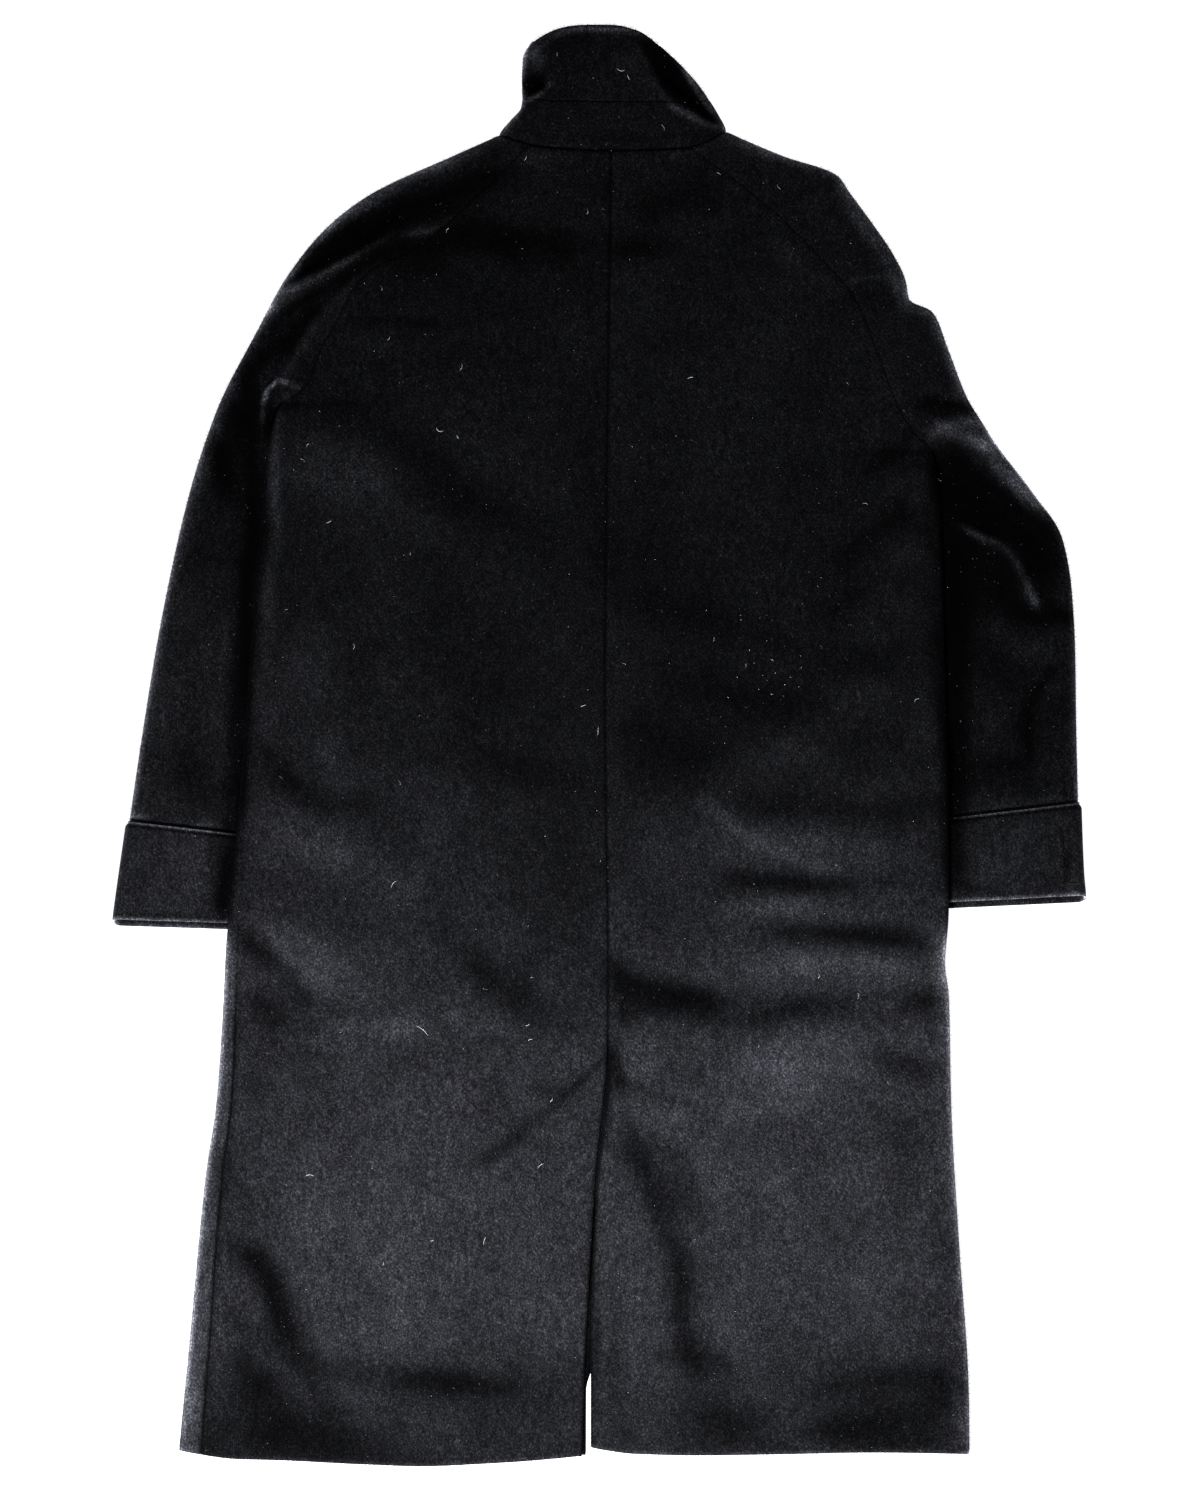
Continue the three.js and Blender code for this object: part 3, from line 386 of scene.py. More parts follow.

# Painted shade and painted light over the same cloth that leave its height alone
SHADES = table(
    STROKE,
    # right half
    (100, 20, 200, 40, 20, -0.45), (150, -20, 232, -20, 17, -0.7), (30, 160, 110, 30, 46, -0.2),
    (18, -30, 24, -110, 20, -0.5), (12, -200, 105, -224, 15, -1.2), (190, 60, 262, 75, 16, -0.4),
    (9, -250, 20, -300, 7, -0.8), (24, -330, 78, -400, 13, -0.8), (66, -415, 72, -500, 11, -0.75),
    (60, -512, 112, -530, 13, -0.9), (180, -545, 303, -535, 12, -0.5), (170, -582, 292, -590, 11, -0.5),
    (80, -562, 132, -588, 18, -0.35), (85, -50, 160, -90, 7, 0.6), (160, -90, 205, -105, 7, 0.45),
    (110, -140, 200, -130, 9, 0.35), (120, -190, 190, -178, 11, 0.35), (110, -275, 258, -250, 24, 0.4),
    (100, -308, 190, -302, 13, 0.25), (105, -118, 288, -115, 7, -0.4), (190, -156, 285, -166, 7, -0.8),
    (281, -208, 291, -258, 8, -0.45), (150, 424, 205, 385, 8, 0.4), (255, 172, 268, 150, 12, 0.3),
    (262, 20, 284, 0, 12, 0.5), (60, 470, 215, 300, 60, -0.15),
    # left half
    (-271, 288, -273, 180, 5, 1.1), (-277, 170, -283, 20, 5, 0.5), (-257, 286, -238, 250, 13, 0.5),
    (-250, 238, -198, 200, 20, 0.35), (-205, 255, -138, 165, 13, 0.5), (-212, 345, -165, 340, 9, 0.5),
    (-178, 85, -186, 30, 14, 0.45), (-150, 140, -102, 0, 32, -0.5), (-96, 60, -30, 0, 26, -0.35),
    (-232, 10, -214, -40, 11, 0.5), (-288, 22, -276, 8, 8, 0.5), (-288, -2, -250, -36, 6, -0.6),
    (-280, -62, -172, -122, 26, 0.35), (-222, -80, -200, -96, 12, 0.35), (-285, -148, -235, -212, 11, 0.6),
    (-298, -168, -280, -190, 8, -0.6), (-292, -212, -268, -236, 8, -0.6), (-296, -300, -290, -268, 10, -0.4),
    (-112, -62, -22, -180, 38, -0.3), (-142, -140, -120, -170, 13, -0.3), (-232, -240, -60, -230, 13, 0.35),
    (-250, -360, -110, -425, 56, 0.25), (-316, -425, -286, -440, 10, -0.8),
    (-286, -440, -264, -490, 12, -0.9), (-264, -490, -236, -530, 12, -0.8),
    (-250, -522, -110, -546, 12, -0.6), (-312, -540, -230, -580, 14, -0.7), (-60, -560, -18, -520, 14, -0.3),
    (-346, -520, -342, -600, 9, 0.7), (-60, -330, -102, -356, 5, -0.45), (-202, 430, -132, 400, 14, -0.9),
    (-165, 433, -135, 441, 3.5, 1.3), (-122, 450, -60, 430, 12, -0.5), (10, 415, 60, 420, 9, -0.45),
    (-50, 500, 0, 460, 20, 0.25), (-330, -310, -340, -420, 6, 0.4),
    # left sleeve
    (-306, 330, -258, 372, 8, -0.8), (-321, 262, -314, 210, 10, -0.9), (-312, 300, -292, 260, 6, -0.7),
    (-340, 100, -316, 20, 15, 0.3), (-352, 10, -330, -60, 24, -0.4), (-301, 0, -303, -60, 5, -1.1),
    (-307, -70, -314, -145, 7, -1.3), (-400, -142, -320, -148, 4, -0.6), (-200, 474, -120, 494, 5, 0.6),
    # right sleeve
    (345, 205, 345, 20, 60, -0.55), (284, 271, 318, 272, 6, 1.9), (318, 272, 350, 246, 8, 1.1),
    (350, 246, 394, 186, 7, 0.5), (307, 190, 350, 162, 5, 1.4), (350, 162, 371, 118, 5, 1.4),
    (298, 246, 330, 170, 20, -1.2), (330, 150, 392, 152, 18, -0.9), (310, 120, 306, 60, 12, -0.6),
    (340, 60, 392, 30, 16, -0.4), (364, 30, 355, 0, 9, -0.6), (300, -20, 292, -120, 11, -0.8),
    (302, -30, 390, -38, 10, -0.5), (383, 118, 404, 108, 8, -1.6), (350, 114, 384, 104, 6, -0.9),
    (390, -70, 396, -121, 1.3, -1.2), (376, -46, 398, -44, 4, 0.9), (330, -52, 352, -50, 5, 0.4),
    (288, 210, 292, 30, 4, 0.35), (372, 60, 384, 40, 5, 0.5),
    # smaller shades, darker
    (-300, 320, -290, 262, 7, -1.0), (-322, 258, -312, 212, 9, -0.7), (-294, 200, -298, 20, 5, -0.7),
    (-304, -30, -304, -70, 8, -1.0), (-316, -90, -318, -140, 5, -0.9), (-350, -20, -320, -55, 20, -0.4),
    (-130, 450, -20, 405, 18, -0.4), (-100, 430, -60, 410, 12, -0.3), (-160, 220, -20, 170, 30, -0.25),
    (-50, 320, 20, 190, 26, -0.25), (10, 200, 20, 120, 20, -0.3), (-190, -5, -60, -15, 18, -0.3),
    (-30, -80, -10, -200, 14, -0.25), (-110, -180, -80, -200, 14, -0.4), (16, -172, 18, -200, 12, -0.6),
    (12, -228, 40, -224, 12, -0.9), (50, -224, 130, -240, 9, -0.6), (230, -240, 285, -270, 14, -0.35),
    (11, -262, 15, -292, 6, -0.9), (20, -330, 60, -400, 14, -0.25), (60, -420, 90, -540, 16, -0.35),
    (-3, -380, -8, -540, 5, -0.7), (-312, -470, -300, -520, 9, -0.6), (-300, -535, -262, -590, 16, -0.6),
    (-290, -425, -262, -480, 14, -0.4), (-200, -530, -100, -548, 14, -0.35), (60, -575, 130, -590, 18, -0.35),
    (190, -545, 300, -530, 14, -0.35), (200, -580, 290, -590, 10, -0.3), (180, -152, 270, -160, 7, -0.4),
    (286, 100, 292, 0, 5, -0.6), (318, 140, 345, 120, 12, -0.3), (200, 75, 240, 60, 14, -0.3),
    (380, 30, 360, 0, 14, -0.2), (305, -30, 330, -60, 14, -0.3), (304, -120, 340, -126, 4, -0.6),
    (-330, 20, -350, -30, 14, -0.3), (-296, -280, -290, -310, 8, -0.3),
    # smaller shades, lighter
    (-274, 240, -277, 100, 6, 0.35), (-250, 90, -200, 40, 26, 0.25), (-290, -50, -200, -120, 26, 0.25),
    (-120, -60, -160, -130, 30, 0.2), (-250, -190, -215, -210, 12, 0.3), (-240, -250, -150, -245, 14, 0.25),
    (150, 250, 220, 270, 14, 0.25), (268, 250, 274, 190, 8, 0.4), (262, 180, 276, 160, 10, 0.45),
    (230, 130, 270, 115, 12, 0.3), (100, -62, 200, -78, 10, 0.3), (110, -140, 190, -130, 10, 0.3),
    (160, -180, 200, -195, 10, 0.3), (150, 0, 180, -20, 12, 0.3), (274, 50, 284, 0, 8, 0.45),
    (282, -15, 286, -30, 7, 0.5), (350, 70, 396, 90, 9, 0.5), (-310, 110, -318, 60, 7, 0.35),
    (396, -118, 410, -126, 5, 0.7), (-118, 316, -114, 326, 4, 0.4), (-70, 500, -45, 495, 8, 0.3),
    (-60, 585, -40, 560, 8, 0.5), (10, 582, 28, 574, 5, 0.5), (288, -150, 292, -215, 5, 0.6),
    # edges and pockets of the larger folds
    (-157, 428, -118, 452, 3.5, 0.9), (-150, 418, -100, 440, 5, -0.7), (-291, 270, -299, 20, 5, -1.0),
    (-308, -60, -314, -145, 6, -0.8), (-272, 240, -276, 100, 5, 0.4), (-322, 255, -322, 205, 9, -0.4),
    (-330, 30, -318, -20, 12, 0.4), (-309, 118, -312, 96, 8, 0.35), (-290, -490, -255, -530, 12, -0.7),
    (-255, -530, -215, -575, 12, -0.7), (12, -450, 14, -560, 8, -0.5), (75, -515, 82, -540, 8, -0.5),
    (70, -465, 76, -495, 6, 0.35), (42, -325, 70, -352, 9, -0.4), (28, -335, 48, -362, 5, 0.4),
    (-60, -297, -20, -290, 7, -0.5), (60, -215, 200, -222, 8, -0.4), (220, -210, 290, -205, 6, -0.4),
    (215, -150, 262, -152, 6, -0.5), (15, -180, 20, -245, 9, -0.6), (-60, -180, -62, -240, 12, -0.45),
    (-230, -220, -180, -232, 9, -0.45), (-290, -205, -280, -225, 10, -0.4), (-340, -540, -350, -605, 10, 0.5),
    (-322, -530, -300, -552, 9, 0.4), (290, -220, 292, -260, 6, 0.4), (299, 250, 301, -60, 11, -1.0),
    (300, -60, 302, -125, 9, -0.6), (292, 264, 332, 251, 5, 1.6), (330, 245, 384, 193, 5, 1.1),
    (300, 246, 340, 217, 5, -1.3), (340, 217, 385, 175, 5, -1.2), (-397, -61, -380, -63, 2.2, 1.6),
    (-345, -66, -322, -69, 3, 1.1), (-90, 508, -150, 487, 5, 1.0), (-200, 463, -250, 420, 5, 0.8),
    (-250, 420, -300, 335, 5, 0.8), (112, 512, 200, 485, 5, 1.1), (200, 485, 250, 400, 5, 1.1),
    (250, 400, 262, 372, 6, 1.2), (262, 372, 285, 366, 3, 0.8), (285, 366, 308, 290, 5, 0.9),
    (9, -262, 4, -340, 4, -0.9), (0, -440, -6, -600, 5, -0.7), (-294, 320, -291, 280, 5, -1.2),
    (-262, 345, -252, 320, 8, -0.6), (-323, 265, -318, 205, 9, -0.5), (-160, 445, -110, 462, 6, -0.8),
    (-285, 365, -250, 384, 4, 0.9), (302, -530, 306, -590, 6, 0.7), (-338, -585, -330, -600, 8, 0.7),
    # collar: light along its outline and the lips of its hollows
    (-84, 515, -66, 545, 6, 1.5), (-66, 572, -62, 590, 6, 1.0), (-62, 590, -48, 602, 5, 1.4),
    (-48, 602, -10, 609, 4, 1.4), (-10, 609, 40, 604, 4, 1.1), (40, 606, 66, 582, 3, 1.1),
    (66, 582, 88, 553, 3, 0.9), (88, 553, 106, 528, 3, 0.5), (30, 592, 46, 566, 3, 0.7),
    (46, 566, 62, 548, 3, 0.8), (62, 548, 104, 527, 3.5, 1.1), (38, 588, 52, 566, 5, -1.2),
    (54, 566, 70, 552, 6, -1.4), (70, 552, 98, 534, 5, -1.4), (48, 590, 70, 566, 5, -1.0),
    (-60, 546, -46, 554, 2.5, 1.3), (-46, 554, -41, 568, 2.5, 0.9), (-60, 560, -50, 558, 5, -1.6),
)

# Painted light and shade over each half of the coat from neck to hem, darker towards the neck and the hem and
# lightest over the skirt, and where the halves meet
LIGHT_ZONES = table(
    ("y", "left", "right"), (610, -0.45, -0.45), (400, -0.8, -0.88), (250, -0.55, -0.95), (150, -0.6, -1.15),
    (20, -0.5, -0.95), (-60, 0.0, -0.3), (-110, 0.1, -0.1), (-200, 0.35, 0.25), (-300, 0.55, 0.4),
    (-480, 0.5, 0.3), (-550, 0.0, -0.1), (-600, -0.35, -0.35),
)
HALVES_MEET = (-40, 50)

# Ripples: their strength, the size of a bump and a seed
LATTICE = 64
STROKE_WANDER = (3, 45, 21)
ZONE_WANDER = (26, 80, 22)
TONE_RIPPLES = ((0.12, 23, 23), (0.09, 8, 24))
FOLD_RIPPLE = (0.45, 58, 11)
FOLD_SLANT = 0.35
FINE_RIPPLE = (0.16, 17, 12)
SEAM_RIPPLE = (1, 16, 5)
COLLAR_RIPPLE = (1, 14, 8)


def strokes(rows, x, y):
    """Sum of soft strokes, each weaker towards its ends."""
    total = np.zeros(np.broadcast(x, y).shape)
    for x0, y0, x1, y1, width, amount in zip(*rows.values()):
        dx, dy = x1 - x0, y1 - y0
        on = np.clip(((x - x0) * dx + (y - y0) * dy) / (dx * dx + dy * dy), 0, 1)
        away = np.hypot(x - x0 - on * dx, y - y0 - on * dy) / width
        total += amount * (1 - TAPER * (2 * on - 1) ** 4) * np.exp(-away * away)
    return total


def ripple(x, y, strength, cell, seed):
    """Smooth repeatable noise with bumps one cell wide."""
    lattice = np.random.default_rng(seed).uniform(-1, 1, (LATTICE, LATTICE))
    u, v = np.asarray(x) / cell, np.asarray(y) / cell
    i, j = np.floor(u).astype(int), np.floor(v).astype(int)
    s, t = u - i, v - j
    s, t = s ** 3 * (s * (6 * s - 15) + 10), t ** 3 * (t * (6 * t - 15) + 10)
    pick = lambda di, dj: lattice[(i + di) % LATTICE, (j + dj) % LATTICE]
    return strength * mix(mix(pick(0, 0), pick(1, 0), s), mix(pick(0, 1), pick(1, 1), s), t)


# Painted light and shade from the zones and strokes, with random tone ripples over them
def tone_and_painted_light(x, y):
    wander = ripple(x, y, *STROKE_WANDER)
    at = y + ripple(x, y, *ZONE_WANDER)
    tone = mix(read(LIGHT_ZONES, "y", "left", at), read(LIGHT_ZONES, "y", "right", at), ease(*HALVES_MEET, x))
    for rows in (FOLD_LIGHT_AND_SHADE, SHADES):
        tone = tone + strokes(rows, x + wander, y + wander)
    for kind in TONE_RIPPLES:
        tone = tone + ripple(x, y, *kind)
    return tone


def fold_height(x, y):
    height = strokes(FOLDS, x, y) + SHADE_STROKE_RELIEF * strokes(FOLD_LIGHT_AND_SHADE, x, y)
    height = height + ripple(x + FOLD_SLANT * y, y, *FOLD_RIPPLE) + ripple(x, y, *FINE_RIPPLE)
    deepest = LOFT - LEAST_GAP
    return np.where(height < 0, -deepest * np.tanh(-height / deepest), height)


def side_ride(side, x, y):
    """How far a sleeve under the body's side lifts it."""
    fold = read(side["arm_fold"], "y", "x", y) * side["sign"]
    lift = read(side["ride"], "y", "lift", y)
    return lift * ease(fold - RIDE_LEAD - RIDE_RAMP, fold - RIDE_LEAD, x * side["sign"])


def button_ride(x, y):
    across = 1 - ease(*BULGE_ACROSS, np.abs(x - BUTTON_X))
    along = ease(*BULGE_LOW, y) * (1 - ease(*BULGE_HIGH, y))
    return (BUTTON_THICK + SEAM_GAP) * across * along


def overlap_ride(x, y):
    left, right = OVERLAP_FLAT
    across = ease(left - OVERLAP_RAMP, left, x) * (1 - ease(right, right + OVERLAP_RAMP, x))
    return OVERLAP_LIFT * across * ease(*OVERLAP_LOW, y) * (1 - ease(*OVERLAP_HIGH, y))


def left_front_mid(x, y):
    return REST_MID + side_ride(LEFT, x, y) + side_ride(RIGHT, x, y) + button_ride(x, y)


def right_front_mid(x, y):
    return left_front_mid(x, y) + overlap_ride(x, y)


def back_mid(x, y):
    return right_front_mid(x, y) + CLOTH + LOFT + fold_height(x, y)


# One panel row runs from end a to end b; each end is a seam in the flat or a round fold.
# These are steps along the cloth from an end.
PACKED_STEP = 0.12
RUN_MARGIN = 4.0
SEAM_MARGIN = 3
TANGENT_STEP = 0.3
SEAM_STEPS = (0.15, 0.6, 1.2, 2.0, 3.0, 4.4, 6.4, 9.0)
PLAIN_STEPS = (-11, -8.5, -6.6, -5.2, -4.2, -3.4, -2.7, -2.0, -1.4, -0.9, -0.5, 0)
WRAP_STEPS = (
    -22, -18, -14, -11, -9, -7.5, -6, -5, -4.2, -3.4, -2.6, -1.8, -0.9, 0, 0.9, 1.8, 2.6, 3.4, 4.2,
    5, 6, 7.5, 9, 11, 13, 15, 17, 19,
)

# A shorter row has its steps drawn together
FULL_ROW = 90

# Below this a vector has no direction
TINY = 1e-9


def unit(vectors):
    return vectors / np.maximum(np.linalg.norm(vectors, axis=-1, keepdims=True), TINY)


def place(panel, xy, top):
    x = xy[..., 0]
    y = xy[..., 1] + panel["warp"](xy[..., 0], xy[..., 1], top)
    z = (panel["upper"] if top else panel["lower"])(x, y)
    return np.stack(np.broadcast_arrays(x, y, z), axis=-1)


def fold_points(panel, end, turn, always_round=False):
    """Points near a fold line; turn is the way along the cloth from its tip, negative on the top."""
    tip_top, tip_under = end["top"][:, None, :], end["under"][:, None, :]

    def flat_point(on_top, depth):
        start = tip_top if on_top else tip_under
        inner = (end["top_inner"] if on_top else end["under_inner"])[:, None, :]
        length = np.linalg.norm(inner - start, axis=-1, keepdims=True)
        return start + (inner - start) * depth[..., None] / length

    high = place(panel, tip_top, True)
    low = place(panel, tip_under, False)
    radius = (high[..., 2] - low[..., 2]) / 2
    quarter = math.pi / 2 * radius
    angle = np.clip(turn / radius, -math.pi / 2, math.pi / 2)
    inside = np.abs(turn) <= quarter
    depth = np.where(inside, radius * (1 - np.cos(angle)), radius + np.abs(turn) - quarter)
    points = []
    for on_top in (True, False):
        rounded = place(panel, flat_point(on_top, depth), on_top)
        middle = (high[..., 2] + low[..., 2]) / 2 - radius * np.sin(angle)
        rounded[..., 2] = np.where(inside, middle, rounded[..., 2])
        if not always_round:
            flat = place(panel, flat_point(on_top, np.abs(turn)), on_top)
            rounded = mix(flat, rounded, end["round"][:, None, None])
        points.append(rounded)
    return np.where((turn < 0)[..., None], points[0], points[1])


def end_steps(end, top, scale):
    sign = 1 if top else -1
    reach = sign * end["split"] - SEAM_GAP / 2
    steps = WRAP_STEPS if end["wraps"] and not top else PLAIN_STEPS
    last = len(steps) - 1
    columns = [np.minimum(step * scale, reach - (last - i) * PACKED_STEP) for i, step in enumerate(steps)]
    columns[-1] = reach
    return np.stack(columns, axis=1), reach


def panel_grid(panel, run):
    """Middle points of a panel, and the way along the cloth at both of its ends."""
    top = panel["top"]
    sign = 1 if top else -1
    key = "top" if top else "under"
    a, b = panel["a"], panel["b"]
    length = np.linalg.norm(b[key] - a[key], axis=1)
    scale = np.minimum(1, length / FULL_ROW)

    def folded(end, way):
        steps, reach = end_steps(end, top, scale)
        clear = np.maximum(-steps[:, 0], -reach) + RUN_MARGIN * scale
        points = fold_points(panel, end, steps[:, ::way] * sign)
        return points, end_tangent(panel, end, steps[:, -1] * sign, sign), clear[:, None]

    points_b, tangent_b, clear_b = folded(b, 1)
    stop = length[:, None] - clear_b
    shares = np.linspace(0, 1, run + 1)[None, :]
    if a.get("plain"):
        points_a, tangent_a = [], None
        near = np.array(SEAM_STEPS)[None, :] + 0 * length[:, None]
        away = np.concatenate([near, mix(SEAM_STEPS[-1] + SEAM_MARGIN, stop, shares)], axis=1)
    else:
        points_a, tangent_a, clear_a = folded(a, -1)
        points_a = [points_a]
        away = mix(clear_a, stop, shares)
    along = (b[key] - a[key])[:, None, :] * (away / length[:, None])[..., None]
    middle = place(panel, a[key][:, None, :] + along, top)
    return np.concatenate([*points_a, middle, points_b], axis=1), (tangent_a, tangent_b)


def end_tangent(panel, end, turn, sign):
    before, after = (
        fold_points(panel, end, (turn + sign * step)[:, None], True) for step in (-TANGENT_STEP, TANGENT_STEP)
    )
    return unit((after - before)[:, 0, :]), end["round"]


# The front's neck edge: its lowest point, its rise and half its width
FRONT_NECK_X = 12
FRONT_NECK_Y = 445
FRONT_NECK_RISE = 74
FRONT_NECK_HALF = 95.5

# How marked each seam is; the side's is faint where a sleeve lies beside it, and there its rim's painted
# highlight turns to painted shade
CENTRE_SEAM = 0.75
RAGLAN_SEAM = 0.3
NECK_SEAM = 0.75
SIDE_SEAM = 0.9
COLLAR_SEAM_MARK = 0.14
SIDE_SEAM_FAINT = 0.2
SIDE_SEAM_Y = (-150, -250)
RIM_SHADED = -0.4
RIM_Y = (-140, -170)

# Rows: packed beside a seam, and a little wider towards the hem
PACKED_ROWS = (0, 0.5, 1.1, 1.9, 2.9, 4.2, 6.0, 8.4)
ROW_GROWTH = 1.03

# The seam in the flat turns into a round fold below the underarm
ROUND_START = 1
ROUND_RUN = 42

# Above the first and below the second a panel bends to the edge of the neck and of the hem
NECK_BEND = 80
HEM_BEND_Y = -470

# How far the body's side covers a sleeve
COVERED = (2, 18)
COVER_RUN = 30


def front_neck(x):
    return FRONT_NECK_Y + FRONT_NECK_RISE * ((x - FRONT_NECK_X) / FRONT_NECK_HALF) ** 2


def centre_back(name, y):
    return np.where(y > VENT["y"][0], read(CENTRE_BACK, "y", "x", y), read(VENT, "y", name, y))


def graded(rows, length):
    """Shares from 0 to 1, packed near the start where a seam is."""
    near = np.array(PACKED_ROWS) / length
    return np.concatenate([near, np.linspace(near[-1], 1, rows - len(near) + 1)[1:]])


def underarm_rounds(underarm, y):
    return ease(underarm + ROUND_START, underarm - ROUND_RUN, y)


def body_panel(side, top):
    count = BACK_ROWS if top else FRONT_ROWS
    seam = side["back_seam"] if top else side["front_seam"]
    underarm = seam(1.0)[1]
    neck_top = seam(0.0)
    raglan = seam(graded(count["raglan"], RAGLAN_LENGTH)[:-1])
    low_y = mix(underarm, HEM_Y, np.linspace(0, 1, count["side"] + 1) ** ROW_GROWTH)
    low = np.stack([read(side["edge"], "y", "x", low_y), low_y], axis=1)
    edge = np.concatenate([raglan, low])
    y = edge[:, 1]
    sewn = np.arange(len(y)) < len(raglan)
    rounds = np.where(sewn, 0, underarm_rounds(underarm, y))
    x = centre_back(side["name"], y) if top else read(FRONT_EDGE, "y", side["name"], y)
    centre = np.stack([x, y], axis=1)

    def warp(px, py, on_top):
        within = side["sign"] * np.minimum(side["sign"] * px, side["sign"] * neck_top[0])
        neck = read(NECK_BACK, "x", "y", within) if on_top else front_neck(within)
        rise = (neck - neck_top[1]) * ease(underarm + NECK_BEND, neck_top[1], py)
        return rise + read(side["hem"], "x", "y", px) * ease(HEM_BEND_Y, HEM_Y, py)

    side_seam = SIDE_SEAM * mix(SIDE_SEAM_FAINT, 1, ease(*SIDE_SEAM_Y, y))
    return {
        "top": top,
        "marks": (np.full(len(y), CENTRE_SEAM), np.where(sewn, RAGLAN_SEAM, side_seam)),
        "rim": rounds * mix(RIM_SHADED, 1, ease(*RIM_Y, y)),
        "warp": warp,
        "upper": back_mid,
        "lower": left_front_mid if side is LEFT else right_front_mid,
        "a": {"top": centre, "under": centre, "plain": True},
        "b": {
            "top": edge, "under": edge, "top_inner": centre, "under_inner": centre,
            "round": rounds, "split": -read(side["inset"], "y", "back", y), "wraps": side is LEFT,
        },
    }


def under_body(side, x, y):
    """1 where a sleeve lies under the body's side."""
    edge = read(side["edge"], "y", "x", y) * side["sign"]
    start, end = COVERED
    below = side["edge"]["y"].max()
    return (1 - ease(edge + start, edge + end, x * side["sign"])) * ease(below, below - COVER_RUN, y)


# The lower layer reaches under the body's edge at the underarm
WEB_REACH = 4.5
WEB_LENGTH = 46
WEB_START = 6
WEB_FULL = 22

# Shares of the arm over which it rises into the cuff
ARM_RISE = (0.62, 0.8)


def sleeve_panel(side, top, share=None, grow=0.0, slant=0.0):
    """One side of a sleeve, or of a cuff grown round its end where the shares of the arm are given."""
    whole = share is None
    count = ARM_BACK_ROWS if top else ARM_FRONT_ROWS
    share = np.linspace(0, 1, count["side"] + 1) if whole else share
    underarm = side["back_seam"](1.0)[1]
    y = mix(underarm, side["arm_end"], share)
    inner = np.stack([read(side["arm_fold"], "y", "x", y), y], axis=1)
    web = side["sign"] * WEB_REACH * ease(underarm, underarm - WEB_START, y)
    web = web * ease(underarm - WEB_LENGTH, underarm - WEB_FULL, y)
    top_inner, under_inner = inner, inner - np.stack([web, 0 * y], axis=1)
    outer = side["arm"](share - slant * ease(share[-1], share[0], share))
    rounds = underarm_rounds(underarm, y)
    if whole:
        raglan = graded(count["raglan"], RAGLAN_LENGTH)[:-1]
        top_inner = np.concatenate([side["back_seam"](raglan), top_inner])
        under_inner = np.concatenate([side["front_seam"](raglan), under_inner])
        outer = np.concatenate([side["shoulder"](raglan), outer])
        rounds = np.concatenate([0 * raglan, rounds])
        share = np.concatenate([0 * raglan, share])
    rise = LAYER * ease(*ARM_RISE, share)[:, None]
    length = np.linalg.norm(outer - top_inner, axis=1)[:, None]
    tip = mix(outer, top_inner, (OUTLINE_INSET - grow) / length)
    top_inner, under_inner = mix(top_inner, outer, -grow / length), mix(under_inner, outer, -grow / length)
    neck_row = (np.arange(len(share)) == 0)[:, None] & whole

    def warp(px, py, on_top):
        neck = read(NECK_BACK, "x", "y", px) if on_top else front_neck(px)
        return np.where(neck_row, neck - py, 0)

    def upper(px, py):
        folds = fold_height(px, py) * (1 - under_body(side, px, py))
        return REST_MID + rise + CLOTH + LOFT + grow + folds

    def lower(px, py):
        return REST_MID + rise - grow + 0 * px

    zero = np.zeros(len(share))
    split = zero if grow > 0 else -read(side["sleeve_inset"], "share", "back", share)
    raglan_mark = np.where(share > 0, 0, RAGLAN_SEAM)
    return {
        "top": top,
        "marks": (raglan_mark, zero),
        "rim": zero + 1,
        "cuff": side["cuff"],
        "warp": warp,
        "upper": upper,
        "lower": lower,
        "a": {
            "top": top_inner, "under": under_inner, "top_inner": tip, "under_inner": tip,
            "round": rounds, "split": zero, "wraps": False,
        },
        "b": {
            "top": tip, "under": tip, "top_inner": top_inner, "under_inner": under_inner,
            "round": zero + 1, "split": split, "wraps": side is RIGHT and grow == 0,
        },
    }


def normals_of(grid, ends=(None, None), closed=False, level_rows=()):
    if closed:
        wide = np.concatenate([grid[:, -1:], grid, grid[:, :1]], axis=1)
        across = wide[:, 2:] - wide[:, :-2]
    else:
        across = np.gradient(grid, axis=1)
    down = np.gradient(grid, axis=0)
    normal = unit(np.cross(down, across))
    for column, beside, end in ((0, 1, ends[0]), (-1, -2, ends[1])):
        if end is None:
            continue
        along, rounds = end
        near = normal[:, beside]
        turned = unit(np.cross(down[:, column], along))
        turned = turned * np.sign(np.sum(turned * near, axis=1, keepdims=True))
        upright = np.zeros_like(turned)
        upright[:, 2] = np.sign(near[:, 2])
        normal[:, column] = unit(mix(upright, turned, rounds[:, None]))
    for row in level_rows:
        normal[row, :, 1] = 0
        normal[row] = unit(normal[row])
    return normal


def path_distance(grid, axis):
    steps = np.linalg.norm(np.diff(grid, axis=axis), axis=-1)
    start = np.zeros_like(np.take(steps, [0], axis=axis))
    from_start = np.concatenate([start, np.cumsum(steps, axis=axis)], axis=axis)
    total = np.take(from_start, [-1], axis=axis)
    return from_start, total - from_start


# Sunken seam lines with the allowance's soft ridge beside them, and the shade in them
SEAM_DEPTH = 0.95
SEAM_WIDTH = 1.3
ALLOWANCE_AT = 6.5
ALLOWANCE_WIDTH = 4.0
ALLOWANCE_RISE = 0.42
ALLOWANCE_WAVE = 0.6
SEAM_TONE = -1.6
SEAM_TONE_WIDTH = 1.1
UNDER_PUSH = 0.4

# Painted highlight where light catches the fibres that stand out along an edge
RIM_LIGHT_AND_SHADE = 2.1
RIM_WIDTH = 2.3
GLOW_HIGHLIGHT = 0.6
GLOW_WIDTH = 8.0
HEM_HIGHLIGHT = 0.7

